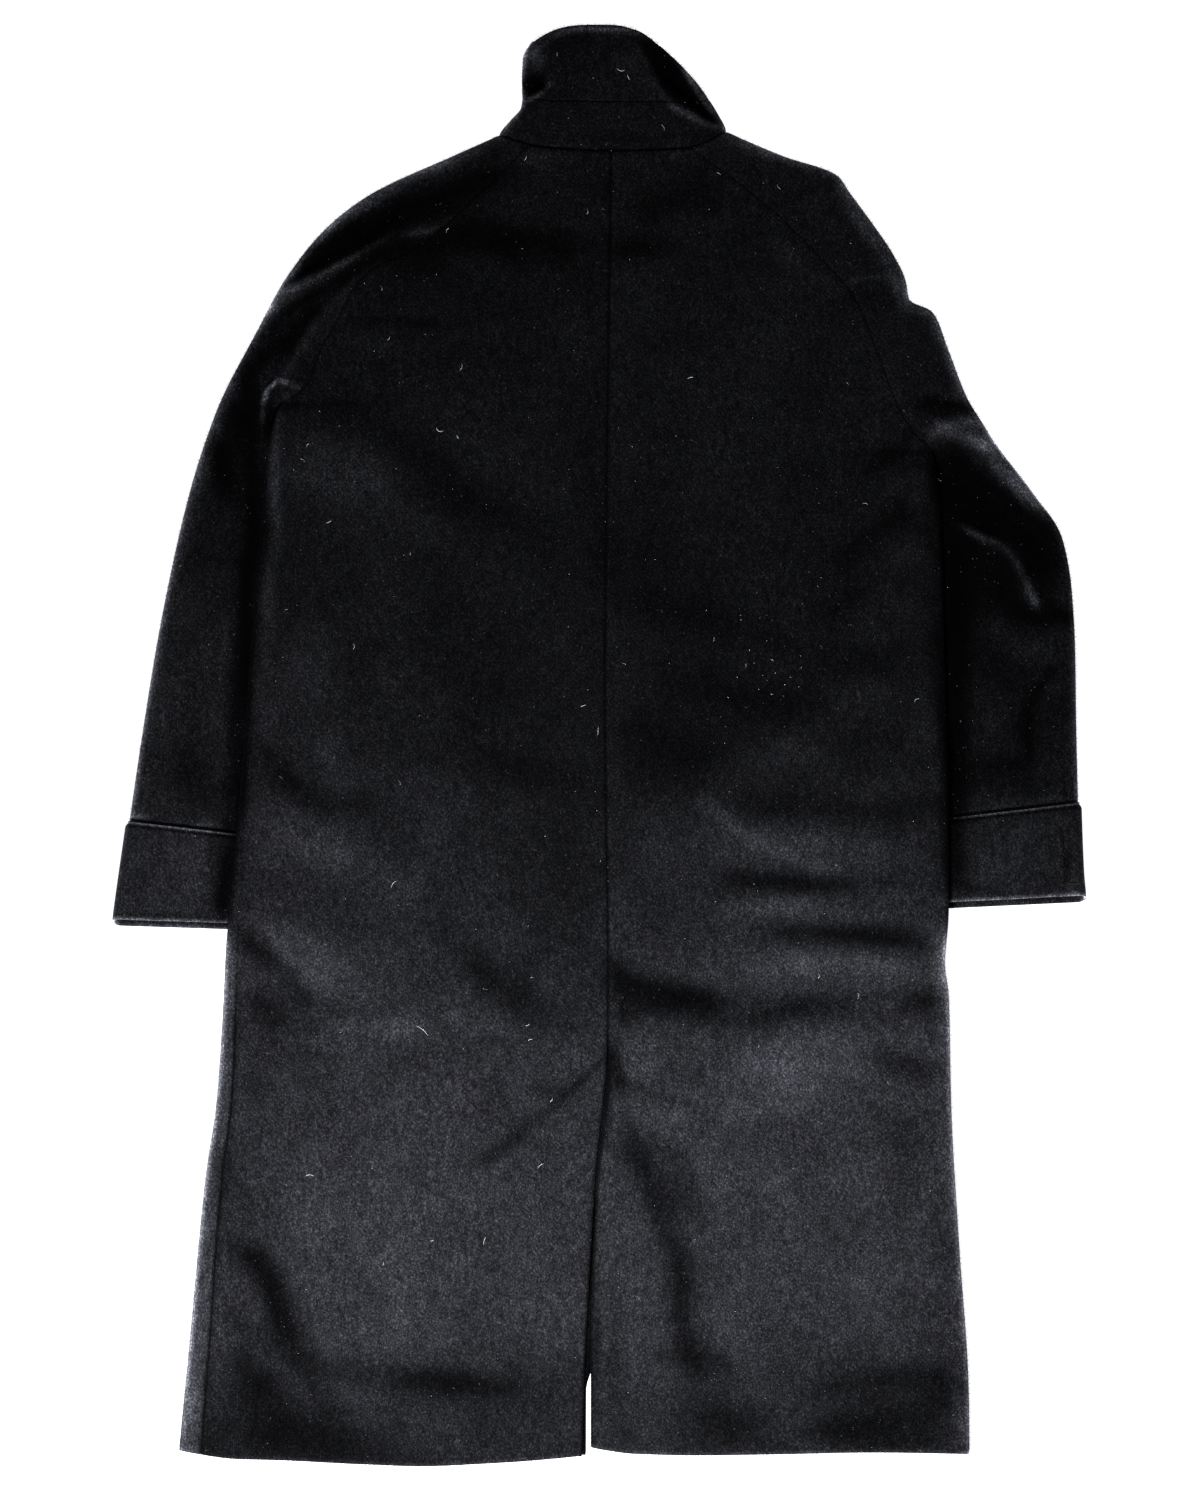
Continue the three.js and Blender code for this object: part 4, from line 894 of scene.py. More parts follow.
# Painted light on the sleeve just above a cuff, past the shadow of its edge
CUFF_GLOW = 1.4
CUFF_GLOW_X = (-100, 100)
CUFF_GLOW_AT = 1.5
CUFF_GLOW_WIDTH = 2.6

# Shade on the cloth's inner face, and on the front cloth seen in the vent
INNER_TONE = 0.3
VENT_SHADE = 1.6
VENT_SHADE_X = (30, 60)
VENT_SHADE_Y = (-260, -220)

# The rim between the cloth's two faces stands out this far
RIM_OUT = 0.375


def bell(distance, width):
    return np.exp(-((distance / width) ** 2))


def seam_tone(distance):
    return SEAM_TONE * bell(distance, SEAM_TONE_WIDTH)


def seam_profile(distance, wave):
    sunk = -SEAM_DEPTH * bell(distance, SEAM_WIDTH)
    raised = ALLOWANCE_RISE * (1 + ALLOWANCE_WAVE * wave) * bell(distance - ALLOWANCE_AT, ALLOWANCE_WIDTH)
    return sunk + raised


def turn_out(normal, grid):
    """1 where a closed band's normals point out of it, -1 where they point in."""
    away = grid - grid.mean(axis=1, keepdims=True)
    return 1 if np.sum(normal * away) > 0 else -1


def shell_mesh(name, grid, normal, tone, closed=False, thickness=CLOTH):
    """A closed wall of cloth around a grid of middle points, with rounded rims and its tone of painted light
    and shade.
    """
    rows, columns = grid.shape[:2]
    out = turn_out(normal, grid) if closed else 1
    # Where the cloth is thinner, its inner face stays where it is
    half = CLOTH / 2
    outer = grid + normal * (np.atleast_2d(thickness) - half)[..., None] * out
    inner = grid - normal * half * out
    points = [outer.reshape(-1, 3), inner.reshape(-1, 3)]
    tones = [tone.ravel(), tone.ravel() - INNER_TONE]
    count = rows * columns
    index = np.arange(count).reshape(rows, columns)
    if closed:
        index = np.concatenate([index, index[:, :1]], axis=1)
    quads = []

    def add_quads(a, b, c, d):
        quads.append(np.stack([a.ravel(), b.ravel(), c.ravel(), d.ravel()], axis=1))

    add_quads(index[:-1, :-1], index[1:, :-1], index[1:, 1:], index[:-1, 1:])
    flip = index + count
    add_quads(flip[:-1, :-1], flip[:-1, 1:], flip[1:, 1:], flip[1:, :-1])
    first, last = grid[0] - grid[1], grid[-1] - grid[-2]
    if closed:
        borders = [(index[0, :-1], first), (index[-1, -2::-1], last[::-1])]
    else:
        left, right = grid[:, 0] - grid[:, 1], grid[:, -1] - grid[:, -2]
        line = np.concatenate([index[0, :-1], index[:-1, -1], index[-1, :0:-1], index[:0:-1, 0]])
        borders = [(line, np.concatenate([first[:-1], right[:-1], last[:0:-1], left[:0:-1]]))]
    total = 2 * count
    for line, way in borders:
        points.append(grid.reshape(-1, 3)[line] + unit(way) * RIM_OUT)
        tones.append(tone.ravel()[line])
        rim = total + np.arange(len(line))
        total += len(line)
        after = np.roll(np.arange(len(line)), -1)
        add_quads(line, line[after], rim[after], rim)
        add_quads(rim, rim[after], (line + count)[after], line + count)
    piece = add_piece(name, points, np.concatenate(quads).tolist(), True)
    # Each point keeps its painted light and shade as a brightness factor
    nap = piece.data.attributes.new("nap", "FLOAT", "POINT")
    nap.data.foreach_set("value", np.exp(np.concatenate(tones)).astype(np.float32))
    return piece


def add_piece(name, points, faces, smooth):
    """A piece from its points, none of them below the floor."""
    points = np.concatenate(points) + [CENTRE_X, CENTRE_Y, 0]
    points[:, 2] = np.maximum(points[:, 2], 0)
    mesh = bpy.data.meshes.new(name)
    mesh.from_pydata((points * MM).tolist(), [], faces)
    mesh.update()
    mesh.polygons.foreach_set("use_smooth", np.full(len(faces), smooth))
    make_outward(mesh)
    piece = bpy.data.objects.new(name, mesh)
    bpy.context.collection.objects.link(piece)
    return piece


def make_outward(mesh):
    work = bmesh.new()
    work.from_mesh(mesh)
    bmesh.ops.recalc_face_normals(work, faces=work.faces)
    if work.calc_volume(signed=True) < 0:
        bmesh.ops.reverse_faces(work, faces=work.faces)
    work.to_mesh(mesh)
    work.free()


# Painted highlight along a panel's outer edge, turned to painted shade where its rim is below zero
def rim_light_and_shade(grid, panel):
    tip = panel["b"]["top"][:, None, :]
    away = np.hypot(grid[..., 0] - tip[..., 0], grid[..., 1] - tip[..., 1])
    rim = panel["rim"][:, None]
    glow = np.maximum(rim, 0) * GLOW_HIGHLIGHT * bell(away, GLOW_WIDTH)
    return rim * RIM_LIGHT_AND_SHADE * bell(away, RIM_WIDTH) + glow


def cloth_wall(name, panel, run, hem=False):
    grid, ends = panel_grid(panel, run)
    normal = normals_of(grid, ends, level_rows=(0,))
    x, y = grid[..., 0], grid[..., 1]
    from_a, from_b = path_distance(grid, 1)
    from_neck, from_hem = path_distance(grid, 0)
    wave = ripple(x + y, y - x, *SEAM_RIPPLE)
    mark_a, mark_b = (mark[:, None] for mark in panel["marks"])
    seams = ((from_a, mark_a), (from_b, mark_b), (from_neck, NECK_SEAM))
    push = sum(mark * seam_profile(distance, wave) for distance, mark in seams)
    upward = 1 if np.median(normal[..., 2]) > 0 else -1
    lift = upward * push if panel["top"] else -upward * push * UNDER_PUSH
    # Painted light and shade, the dark seam lines and the painted highlight of the rim
    tone = tone_and_painted_light(x, y) + sum(mark * seam_tone(distance) for distance, mark in seams)
    tone = tone + rim_light_and_shade(grid, panel)
    if hem:
        tone = tone + HEM_HIGHLIGHT * bell(from_hem, RIM_WIDTH)
    else:
        inner, outer = panel["cuff"]
        cuff_edge = mix(inner, outer, from_a / np.maximum(from_a + from_b, 1))
        glow = bell(from_hem - cuff_edge - CUFF_GLOW_AT, CUFF_GLOW_WIDTH)
        tone = tone + CUFF_GLOW * ease(*CUFF_GLOW_X, x) * glow
    if not panel["top"]:
        tone = tone - VENT_SHADE * (1 - ease(*VENT_SHADE_X, np.abs(x))) * (1 - ease(*VENT_SHADE_Y, y))
    return shell_mesh(name, grid + normal * lift[..., None], normal, tone)


# Materials
def node_material(name):
    material = bpy.data.materials.new(name)
    material.use_nodes = True
    nodes = material.node_tree.nodes
    shader = nodes["Principled BSDF"]
    return material, nodes, material.node_tree.links, shader


WOOL_DARK = (0.0016, 0.0016, 0.0023, 1)
WOOL_MID = (0.0125, 0.0128, 0.0152, 1)
WOOL_PALE = (0.058, 0.060, 0.069, 1)
FLECK = (0.075, 0.077, 0.086, 1)


def wool_material(name):
    material, nodes, links, shader = node_material(name)
    shader.inputs["Roughness"].default_value = 0.95
    shader.inputs["Specular IOR Level"].default_value = 0.02
    shader.inputs["Sheen Weight"].default_value = 0.012
    shader.inputs["Sheen Roughness"].default_value = 0.5
    shader.inputs["Sheen Tint"].default_value = (0.75, 0.8, 1.0, 1)
    place_in = nodes.new("ShaderNodeTexCoord")

    def noise(scale, detail, stretch=None, rough=0.6):
        texture = nodes.new("ShaderNodeTexNoise")
        texture.inputs["Scale"].default_value = scale
        texture.inputs["Detail"].default_value = detail
        texture.inputs["Roughness"].default_value = rough
        source = place_in.outputs["Object"]
        if stretch:
            mapping = nodes.new("ShaderNodeMapping")
            mapping.inputs["Scale"].default_value = stretch
            links.new(source, mapping.inputs["Vector"])
            source = mapping.outputs["Vector"]
        links.new(source, texture.inputs["Vector"])
        return texture.outputs["Fac"]

    def ramp(value, *stops):
        node = nodes.new("ShaderNodeValToRGB")
        while len(node.color_ramp.elements) < len(stops):
            node.color_ramp.elements.new(0.5)
        for element, (at, colour) in zip(node.color_ramp.elements, stops):
            element.position = at
            element.color = colour
        links.new(value, node.inputs["Fac"])
        return node.outputs["Color"]

    def blend(kind, factor, first, second):
        node = nodes.new("ShaderNodeMix")
        node.data_type = "RGBA"
        node.blend_type = kind
        if isinstance(factor, float):
            node.inputs[0].default_value = factor
        else:
            links.new(factor, node.inputs[0])
        links.new(first, node.inputs[6])
        links.new(second, node.inputs[7])
        return node.outputs[2]

    def grey(value):
        return (value, value, value, 1)

    # Mixed dark and mid fibres in short upright locks
    fibre = noise(680, 4, (1.0, 0.7, 1.0), 0.8)
    base = ramp(fibre, (0.3, WOOL_DARK), (0.52, WOOL_MID), (0.72, WOOL_PALE))
    locks = ramp(noise(170, 3, (1.3, 0.6, 1.0)), (0.3, grey(0.62)), (0.7, grey(1.36)))
    base = blend("MULTIPLY", 1.0, base, locks)
    worn = ramp(noise(14, 3), (0.3, grey(0.78)), (0.7, grey(1.22)))
    base = blend("MULTIPLY", 1.0, base, worn)
    # The colour scaled by each point's painted light and shade
    shading_at = nodes.new("ShaderNodeAttribute")
    shading_at.attribute_name = "nap"
    toned = nodes.new("ShaderNodeVectorMath")
    toned.operation = "SCALE"
    links.new(base, toned.inputs[0])
    links.new(shading_at.outputs["Fac"], toned.inputs["Scale"])

    # Pale flecks sprinkled in, which stay light where the painted shade is dark
    fleck = nodes.new("ShaderNodeTexVoronoi")
    fleck.inputs["Scale"].default_value = 330
    links.new(place_in.outputs["Object"], fleck.inputs["Vector"])
    spot = ramp(fleck.outputs["Distance"], (0.1, grey(1)), (0.22, grey(0)))
    chance = ramp(noise(190, 2), (0.6, grey(0)), (0.66, grey(1)))
    sprinkle = blend("MULTIPLY", 1.0, spot, chance)
    pale_colour = nodes.new("ShaderNodeRGB")
    pale_colour.outputs[0].default_value = FLECK
    base = blend("MIX", sprinkle, toned.outputs["Vector"], pale_colour.outputs[0])
    links.new(base, shader.inputs["Base Color"])

    # Nap: fine fibre bump over a faint diagonal weave
    wave = nodes.new("ShaderNodeTexWave")
    wave.wave_type = "BANDS"
    wave.bands_direction = "DIAGONAL"
    wave.inputs["Scale"].default_value = 150
    wave.inputs["Distortion"].default_value = 3.5
    wave.inputs["Detail"].default_value = 2
    links.new(place_in.outputs["Object"], wave.inputs["Vector"])
    weave = nodes.new("ShaderNodeBump")
    weave.inputs["Strength"].default_value = 0.25
    weave.inputs["Distance"].default_value = 0.0004
    links.new(wave.outputs["Fac"], weave.inputs["Height"])
    nap = nodes.new("ShaderNodeBump")
    nap.inputs["Strength"].default_value = 0.8
    nap.inputs["Distance"].default_value = 0.0009
    links.new(noise(560, 5, None, 0.75), nap.inputs["Height"])
    links.new(weave.outputs["Normal"], nap.inputs["Normal"])
    links.new(nap.outputs["Normal"], shader.inputs["Normal"])
    return material


def horn_material():
    material, nodes, links, shader = node_material("horn")
    shader.inputs["Roughness"].default_value = 0.35
    texture = nodes.new("ShaderNodeTexNoise")
    texture.inputs["Scale"].default_value = 160
    texture.inputs["Distortion"].default_value = 2.5
    ramp = nodes.new("ShaderNodeValToRGB")
    ramp.color_ramp.elements[0].color = (0.004, 0.003, 0.003, 1)
    ramp.color_ramp.elements[1].color = (0.03, 0.02, 0.014, 1)
    where = nodes.new("ShaderNodeTexCoord")
    links.new(where.outputs["Object"], texture.inputs["Vector"])
    links.new(texture.outputs["Fac"], ramp.inputs["Fac"])
    links.new(ramp.outputs["Color"], shader.inputs["Base Color"])
    return material


WOOL = wool_material("wool")
HORN = horn_material()


def finish_cloth(piece, node):
    piece.data.materials.append(WOOL)
    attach(piece, "root")
    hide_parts(node)


# Body
for side in SIDES:
    name = side["name"]
    back = cloth_wall(f"cloth_back_{name}", body_panel(side, True), BODY_RUN, hem=True)
    finish_cloth(back, f"back_{name}")
    front = cloth_wall(f"cloth_front_{name}", body_panel(side, False), FRONT_RUN, hem=True)
    finish_cloth(front, f"front_{name}")

# Sleeves
for side in SIDES:
    name = side["name"]
    for part, top, run in (("back", True, SLEEVE_RUN), ("front", False, SLEEVE_FRONT_RUN)):
        sleeve = cloth_wall(f"cloth_sleeve_{name}_{part}", sleeve_panel(side, top), run)
        finish_cloth(sleeve, f"sleeve_{name}_{part}")

# Cuff bands: their rows, the thin upper edge and the painted highlights on the edges
CUFF_ROWS = ((0, 0.14, 12), (0.14, 0.9, 18), (0.9, 1, 8))
CUFF_EDGE_THIN = 0.4
CUFF_EDGE_RUN = 5.0
CUFF_LINE_AT = 0.9
CUFF_LINE_HIGHLIGHT = 2.2
CUFF_LINE_WIDTH = 1.1
MOUTH_HIGHLIGHT = 2.2
MOUTH_WIDTH = 2.2
MOUTH_HEIGHT = (0.3, 0.7)
SIDE_RIM_HIGHLIGHT = 1.6


def cuff_band(side):
    arm_length = side["back_seam"](1.0)[1] - side["arm_end"]
    inner, outer = side["cuff"]
    start = 1 - inner / arm_length
    end = 1 + CUFF_REACH / arm_length
    slant = (outer - inner) / arm_length
    spans = [np.linspace(low, high, steps, endpoint=False) for low, high, steps in CUFF_ROWS]
    rows = np.concatenate([*spans, [1.0]])
    loops = []
    for top in (True, False):
        panel = sleeve_panel(side, top, mix(start, end, rows), LAYER, slant)
        grid, _ = panel_grid(panel, CUFF_RUN)
        loops.append(grid if top else grid[:, ::-1])
    grid = np.concatenate([loops[0][:, :-1], loops[1][:, :-1]], axis=1)
    height = grid[..., 2] / grid[..., 2].max()
    grid[..., 1] -= CUFF_LIP * rows[:, None] ** 3 * (1 - height)
    return grid, height


for side in SIDES:
    name = side["name"]
    grid, height = cuff_band(side)
    normal = normals_of(grid, closed=True)
    from_top, from_mouth = path_distance(grid, 0)
    outward = side["sign"] * grid[..., 0]
    from_side = outward.max(axis=1, keepdims=True) - outward
    # Painted light and shade, with painted highlights along the cuff's top line, its sides and its mouth
    tone = tone_and_painted_light(grid[..., 0], grid[..., 1]) + side["cuff_tone"]
    tone = tone + CUFF_LINE_HIGHLIGHT * bell(from_top - CUFF_LINE_AT, CUFF_LINE_WIDTH)
    tone = tone + SIDE_RIM_HIGHLIGHT * bell(from_side, RIM_WIDTH)
    lips = mix(side["lip_highlight"], MOUTH_HIGHLIGHT, ease(*MOUTH_HEIGHT, height))
    tone = tone + bell(from_mouth, MOUTH_WIDTH) * lips
    edge_thin = 1 - (1 - CUFF_EDGE_THIN / CLOTH) * (1 - ease(0, CUFF_EDGE_RUN, from_top))
    cuff = shell_mesh(f"cloth_cuff_{name}", grid, normal, tone, closed=True, thickness=CLOTH * edge_thin)
    finish_cloth(cuff, f"cuff_{name}")

# Collar: an open flattened tube, stand and leaf in one surface
COLLAR_SIDES = table(
    ("v", "left", "right"),
    (0, -83, 108), (0.15, -73.5, 103), (0.3, -64, 97), (0.42, -63, 91.5), (0.6, -63.4, 82.5),
    (0.85, -62.5, 66.5), (1, -56.5, 54.5),
)
COLLAR_TOP_Y = 611
COLLAR_UNDER_Y = 552
COLLAR_LEFT_CORNER = 595
COLLAR_RIGHT_CORNER = 590
STAND_SHARE = 0.39
SPLIT_SHARE = 0.002
COLLAR_GAP_X = 12
COLLAR_SEAM = 0.6
COLLAR_RIM_HIGHLIGHT = 2.6

# Columns of its under side, of each round side and of its upper side
COLLAR_UNDER = 31
COLLAR_ARC = 15
COLLAR_UPPER = 104

# Shares of half its width: at each round side, and at the gap in front
COLLAR_TIP = 0.05
COLLAR_SLIT = 0.02


def collar_plan(v, u, top):
    left, right = read(COLLAR_SIDES, "v", "left", v), read(COLLAR_SIDES, "v", "right", v)
    x = mix(left, right, (u + 1) / 2)
    neck_x = mix(COLLAR_SIDES["left"][0], COLLAR_SIDES["right"][0], (u + 1) / 2)
    corner = np.where(u < 0, COLLAR_LEFT_CORNER, COLLAR_RIGHT_CORNER)
    neck_y = (read(NECK_BACK, "x", "y", neck_x) if top else front_neck(neck_x)) + COLLAR_SEAM
    if top:
        free_y = COLLAR_TOP_Y - (COLLAR_TOP_Y - corner) * np.abs(u) ** 3
    else:
        free_y = COLLAR_UNDER_Y + (corner - COLLAR_UNDER_Y) * u * u
    return x, mix(neck_y, free_y, v)


def collar_grid(v_from, v_to, rows):
    v = np.linspace(v_from, v_to, rows + 1)[:, None]

    def run(u, top):
        x, y = collar_plan(v, u, top)
        z = back_mid(x, y) if top else REST_MID + 0 * x
        return np.stack(np.broadcast_arrays(x, y, z), axis=-1)

    def arc(sign):
        high, low = run(np.array([[sign]]), True), run(np.array([[sign]]), False)
        inward = run(np.array([[sign * (1 - COLLAR_TIP)]]), True)
        radius = (high[..., 2] - low[..., 2]) / 2
        angle = np.linspace(-math.pi / 2, math.pi / 2, COLLAR_ARC)[None, :]
        depth = radius * (1 - np.cos(angle))
        x = high[..., 0] - sign * depth
        y = mix(high[..., 1], inward[..., 1], depth / np.abs(high[..., 0] - inward[..., 0]))
        z = (high[..., 2] + low[..., 2]) / 2 - radius * np.sin(angle)
        return np.stack([x, y, z], axis=-1)

    left, right = read(COLLAR_SIDES, "v", "left", v), read(COLLAR_SIDES, "v", "right", v)
    middle = (COLLAR_GAP_X - left) / (right - left) * 2 - 1
    edge = 1 - COLLAR_TIP
    under, upper = (np.linspace(0, 1, columns)[None, :] for columns in (COLLAR_UNDER, COLLAR_UPPER))
    return np.concatenate(
        [
            run(mix(middle - COLLAR_SLIT, -edge, under), False),
            arc(-1.0)[:, ::-1],
            run(mix(-edge, edge, upper), True),
            arc(1.0),
            run(mix(edge, middle + COLLAR_SLIT, under), False),
        ],
        axis=1,
    )


for name, v_from, v_to, rows in (
    ("collar_stand", 0.0, STAND_SHARE - SPLIT_SHARE, 22),
    ("collar_leaf", STAND_SHARE + SPLIT_SHARE, 1.0, 40),
):
    stand = name == "collar_stand"
    grid = collar_grid(v_from, v_to, rows)
    normal = normals_of(grid, level_rows=(0, -1) if stand else (0,))
    from_low, from_high = path_distance(grid, 0)
    wave = ripple(grid[..., 0], grid[..., 1], *COLLAR_RIPPLE)
    mark = NECK_SEAM if stand else COLLAR_SEAM_MARK
    push = mark * seam_profile(from_low, wave)
    if stand:
        push = push + COLLAR_SEAM_MARK * seam_profile(from_high, wave)
    first_upper = COLLAR_UNDER + COLLAR_ARC
    upper_normals = normal[:, first_upper:first_upper + COLLAR_UPPER]
    upward = 1 if np.sum(upper_normals[..., 2]) > 0 else -1
    grid = grid + normal * (upward * push)[..., None]
    x = grid[..., 0]
    # Painted light and shade, the seam line and a painted highlight along both round sides
    from_left, from_right = x - x.min(axis=1, keepdims=True), x.max(axis=1, keepdims=True) - x
    rims = bell(from_left, RIM_WIDTH) + bell(from_right, RIM_WIDTH)
    tone = tone_and_painted_light(x, grid[..., 1]) + mark * seam_tone(from_low) + COLLAR_RIM_HIGHLIGHT * rims
    piece = shell_mesh(f"cloth_{name}", grid, normal, tone)
    finish_cloth(piece, name)

# Buttons
for i in range(BUTTON_COUNT):
    button = frame["nodes"][f"button_{i + 1}"]
    button.data.materials.clear()
    button.data.materials.append(HORN)

# Lint and the fibres that stand out along the outline
LINT_MARKS = table(
    ("x", "y", "length", "turn"),
    (-150, -241, 16, -38), (-173, -118, 9, 60), (-245, -365, 9, 10), (-117, 321, 8, 65), (-134, 269, 9, -35),
    (-119, 262, 4, -60), (19, 574, 9, -20), (26, 567, 6, -70), (-49, -356, 8, 40), (-96, -420, 9, 75),
    (-60, -236, 5, 15), (-40, -300, 5, 50), (78, 311, 6, 20), (98, 90, 5, 80), (186, -195, 6, 70),
    (-208, 84, 7, 80), (-228, 190, 6, 20), (-62, 498, 6, 60), (-10, 452, 6, 80), (0, 12, 9, 85),
    (-4, 566, 1.2, 0), (48, 158, 1.4, 0), (201, -101, 1.4, 0), (116, -479, 1.2, 0), (-45, -76, 1.4, 0),
    (2, -97, 1.2, 0), (214, 426, 1.4, 0), (121, 107, 1.4, 0), (128, 81, 1.6, 0), (132, 70, 1.2, 0),
    (139, 60, 1.4, 0), (150, 62, 1.2, 0), (158, 52, 1.5, 0), (163, 58, 1.2, 0), (170, 50, 1.4, 0),
    (147, 44, 1.6, 0), (136, 48, 1.2, 0), (118, 58, 1.2, 0), (110, 41, 1.3, 0), (172, 66, 1.2, 0),
    (-198, 392, 1.5, 0), (-190, 335, 1.5, 0), (-236, 283, 1.3, 0), (262, 330, 1.3, 0), (94, 455, 1.3, 0),
)
LINT_COLOUR = (0.55, 0.56, 0.6, 1)
LINT_SEED = 31
LINT_RADIUS = 0.25
LINT_HEIGHT = 0.2
LINT_AREA = (400, 600)
LINT_BEND = 1.4
LINT_CURL = 1.6

# Scattered lint: how many, and their least and greatest length
LINT_SCATTER = ((260, 0.7, 1.3), (46, 2.5, 7))

# Lint longer than this is a hair, with more steps and a thinner line than a speck
HAIR_LENGTH = 2
HAIR_STEPS = 7
SPECK_STEPS = 3
HAIR_THICK = (0.7, 1.1)
SPECK_THICK = (0.9, 1.5)

# Edge fibres, each with a lean, a reach past the outline and heights of its two ends
FUZZ_COLOUR = (0.3, 0.3, 0.33, 1)
FUZZ_SEED = 32
FUZZ_STEP = 0.55
FUZZ_RADIUS = 0.12
FUZZ_REACH = (0.8, 2.8)
FUZZ_LEAN = 1.1
FUZZ_ROOT = (2, 6.5)
FUZZ_LIFT = 1
FUZZ_LEAST = 0.5

# Rows of the body's side from the cuff down, and points along the hem and the collar
FREE_ROWS = 150
EDGE_POINTS = 60
COLLAR_POINTS = 40
COLLAR_LEAN = 0.3

# Fibres are three-sided tubes, thin at their ends
TUBE_END = 0.02
TUBE_TURNS = (0, 2 * math.pi / 3, 4 * math.pi / 3)
TUBE_ASIDE = (0.13, 0.21, 0.97)


def fibre_material(name, colour):
    material, _, _, shader = node_material(name)
    shader.inputs["Base Color"].default_value = colour
    shader.inputs["Roughness"].default_value = 0.9
    shader.inputs["Specular IOR Level"].default_value = 0.1
    return material


def tube_points(line, radius):
    """Tube round a line, thin at both ends."""
    along = unit(np.gradient(line, axis=0))
    side = unit(np.cross(along, TUBE_ASIDE))
    up = np.cross(side, along)
    thick = radius * np.sqrt(np.clip(1 + TUBE_END - np.linspace(-1, 1, len(line)) ** 2, TUBE_END, 1))
    rings = [line + (side * math.cos(turn) + up * math.sin(turn)) * thick[:, None] for turn in TUBE_TURNS]
    return np.stack(rings, axis=1)


def joined_tubes(name, lines, radii, material):
    points, faces = [], []
    start = 0
    for line, radius in zip(lines, radii):
        ring = tube_points(line, radius)
        points.append(ring.reshape(-1, 3))
        for i in range(len(line) - 1):
            a, b = start + 3 * i, start + 3 * i + 3
            faces.extend((a + k, a + (k + 1) % 3, b + (k + 1) % 3, b + k) for k in range(3))
        faces.append((start + 2, start + 1, start))
        last = start + 3 * len(line) - 3
        faces.append((last, last + 1, last + 2))
        start += 3 * len(line)
    piece = add_piece(name, points, faces, False)
    piece.data.materials.append(material)
    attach(piece, "root")
    return piece


def cloth_top():
    """Height of the cloth over a place in plan, or None beside it."""
    depsgraph = bpy.context.evaluated_depsgraph_get()
    pieces = [piece for piece in bpy.data.objects if piece.name.startswith("cloth_")]
    trees = [BVHTree.FromObject(piece, depsgraph) for piece in pieces]

    def height(x, y):
        start = Vector(((x + CENTRE_X) * MM, (y + CENTRE_Y) * MM, 1))
        hits = [tree.ray_cast(start, Vector((0, 0, -1)))[0] for tree in trees]
        found = [hit.z / MM for hit in hits if hit is not None]
        return max(found) if found else None

    return height


def add_lint():
    rng = np.random.default_rng(LINT_SEED)
    height = cloth_top()
    marks = list(zip(*LINT_MARKS.values()))
    for count, low, high in LINT_SCATTER:
        for _ in range(count):
            x, y = (rng.uniform(-reach, reach) for reach in LINT_AREA)
            marks.append((x, y, rng.uniform(low, high), rng.uniform(0, 180)))
    lines, radii = [], []
    for x, y, length, turn in marks:
        hair = length > HAIR_LENGTH
        steps = HAIR_STEPS if hair else SPECK_STEPS
        bend = rng.uniform(-LINT_BEND, LINT_BEND)
        angle = math.radians(turn) + bend * np.linspace(-0.5, 0.5, steps) * LINT_CURL
        ahead = np.stack([np.cos(angle), np.sin(angle)], axis=1) * length / steps
        plan = np.array([x, y]) + np.cumsum(ahead, axis=0) - ahead.sum(axis=0) / 2
        tops = [height(px, py) for px, py in plan]
        if None in tops:
            continue
        lines.append(np.column_stack([plan, np.array(tops) + LINT_HEIGHT]))
        radii.append(LINT_RADIUS * rng.uniform(*(HAIR_THICK if hair else SPECK_THICK)))
    joined_tubes("lint", lines, radii, fibre_material("lint", LINT_COLOUR))


def outline_runs():
    """Points and outward ways along each outer edge, in order."""
    for side in SIDES:
        free = slice(-FREE_ROWS, None)
        for panel, keep in ((sleeve_panel(side, True), slice(None)), (body_panel(side, True), free)):
            tip, inner = panel["b"]["top"][keep], panel["b"]["top_inner"][keep]
            yield tip, unit(tip - inner)
        x = np.linspace(read(side["edge"], "y", "x", HEM_Y), VENT[side["name"]][-1], EDGE_POINTS)
        hem = np.stack([x, HEM_Y + read(side["hem"], "x", "y", x)], axis=1)
        yield hem, np.tile([0.0, -1.0], (len(hem), 1))
    v = np.linspace(STAND_SHARE, 1, COLLAR_POINTS)
    for u in (-1, 1):
        edge = np.stack(np.broadcast_arrays(*collar_plan(v, np.full_like(v, u), True)), axis=1)
        yield edge, np.tile([float(u), COLLAR_LEAN], (len(edge), 1))
    u = np.linspace(-1, 1, EDGE_POINTS)
    edge = np.stack(np.broadcast_arrays(*collar_plan(np.ones_like(u), u, True)), axis=1)
    yield edge, np.tile([0.0, 1.0], (len(edge), 1))


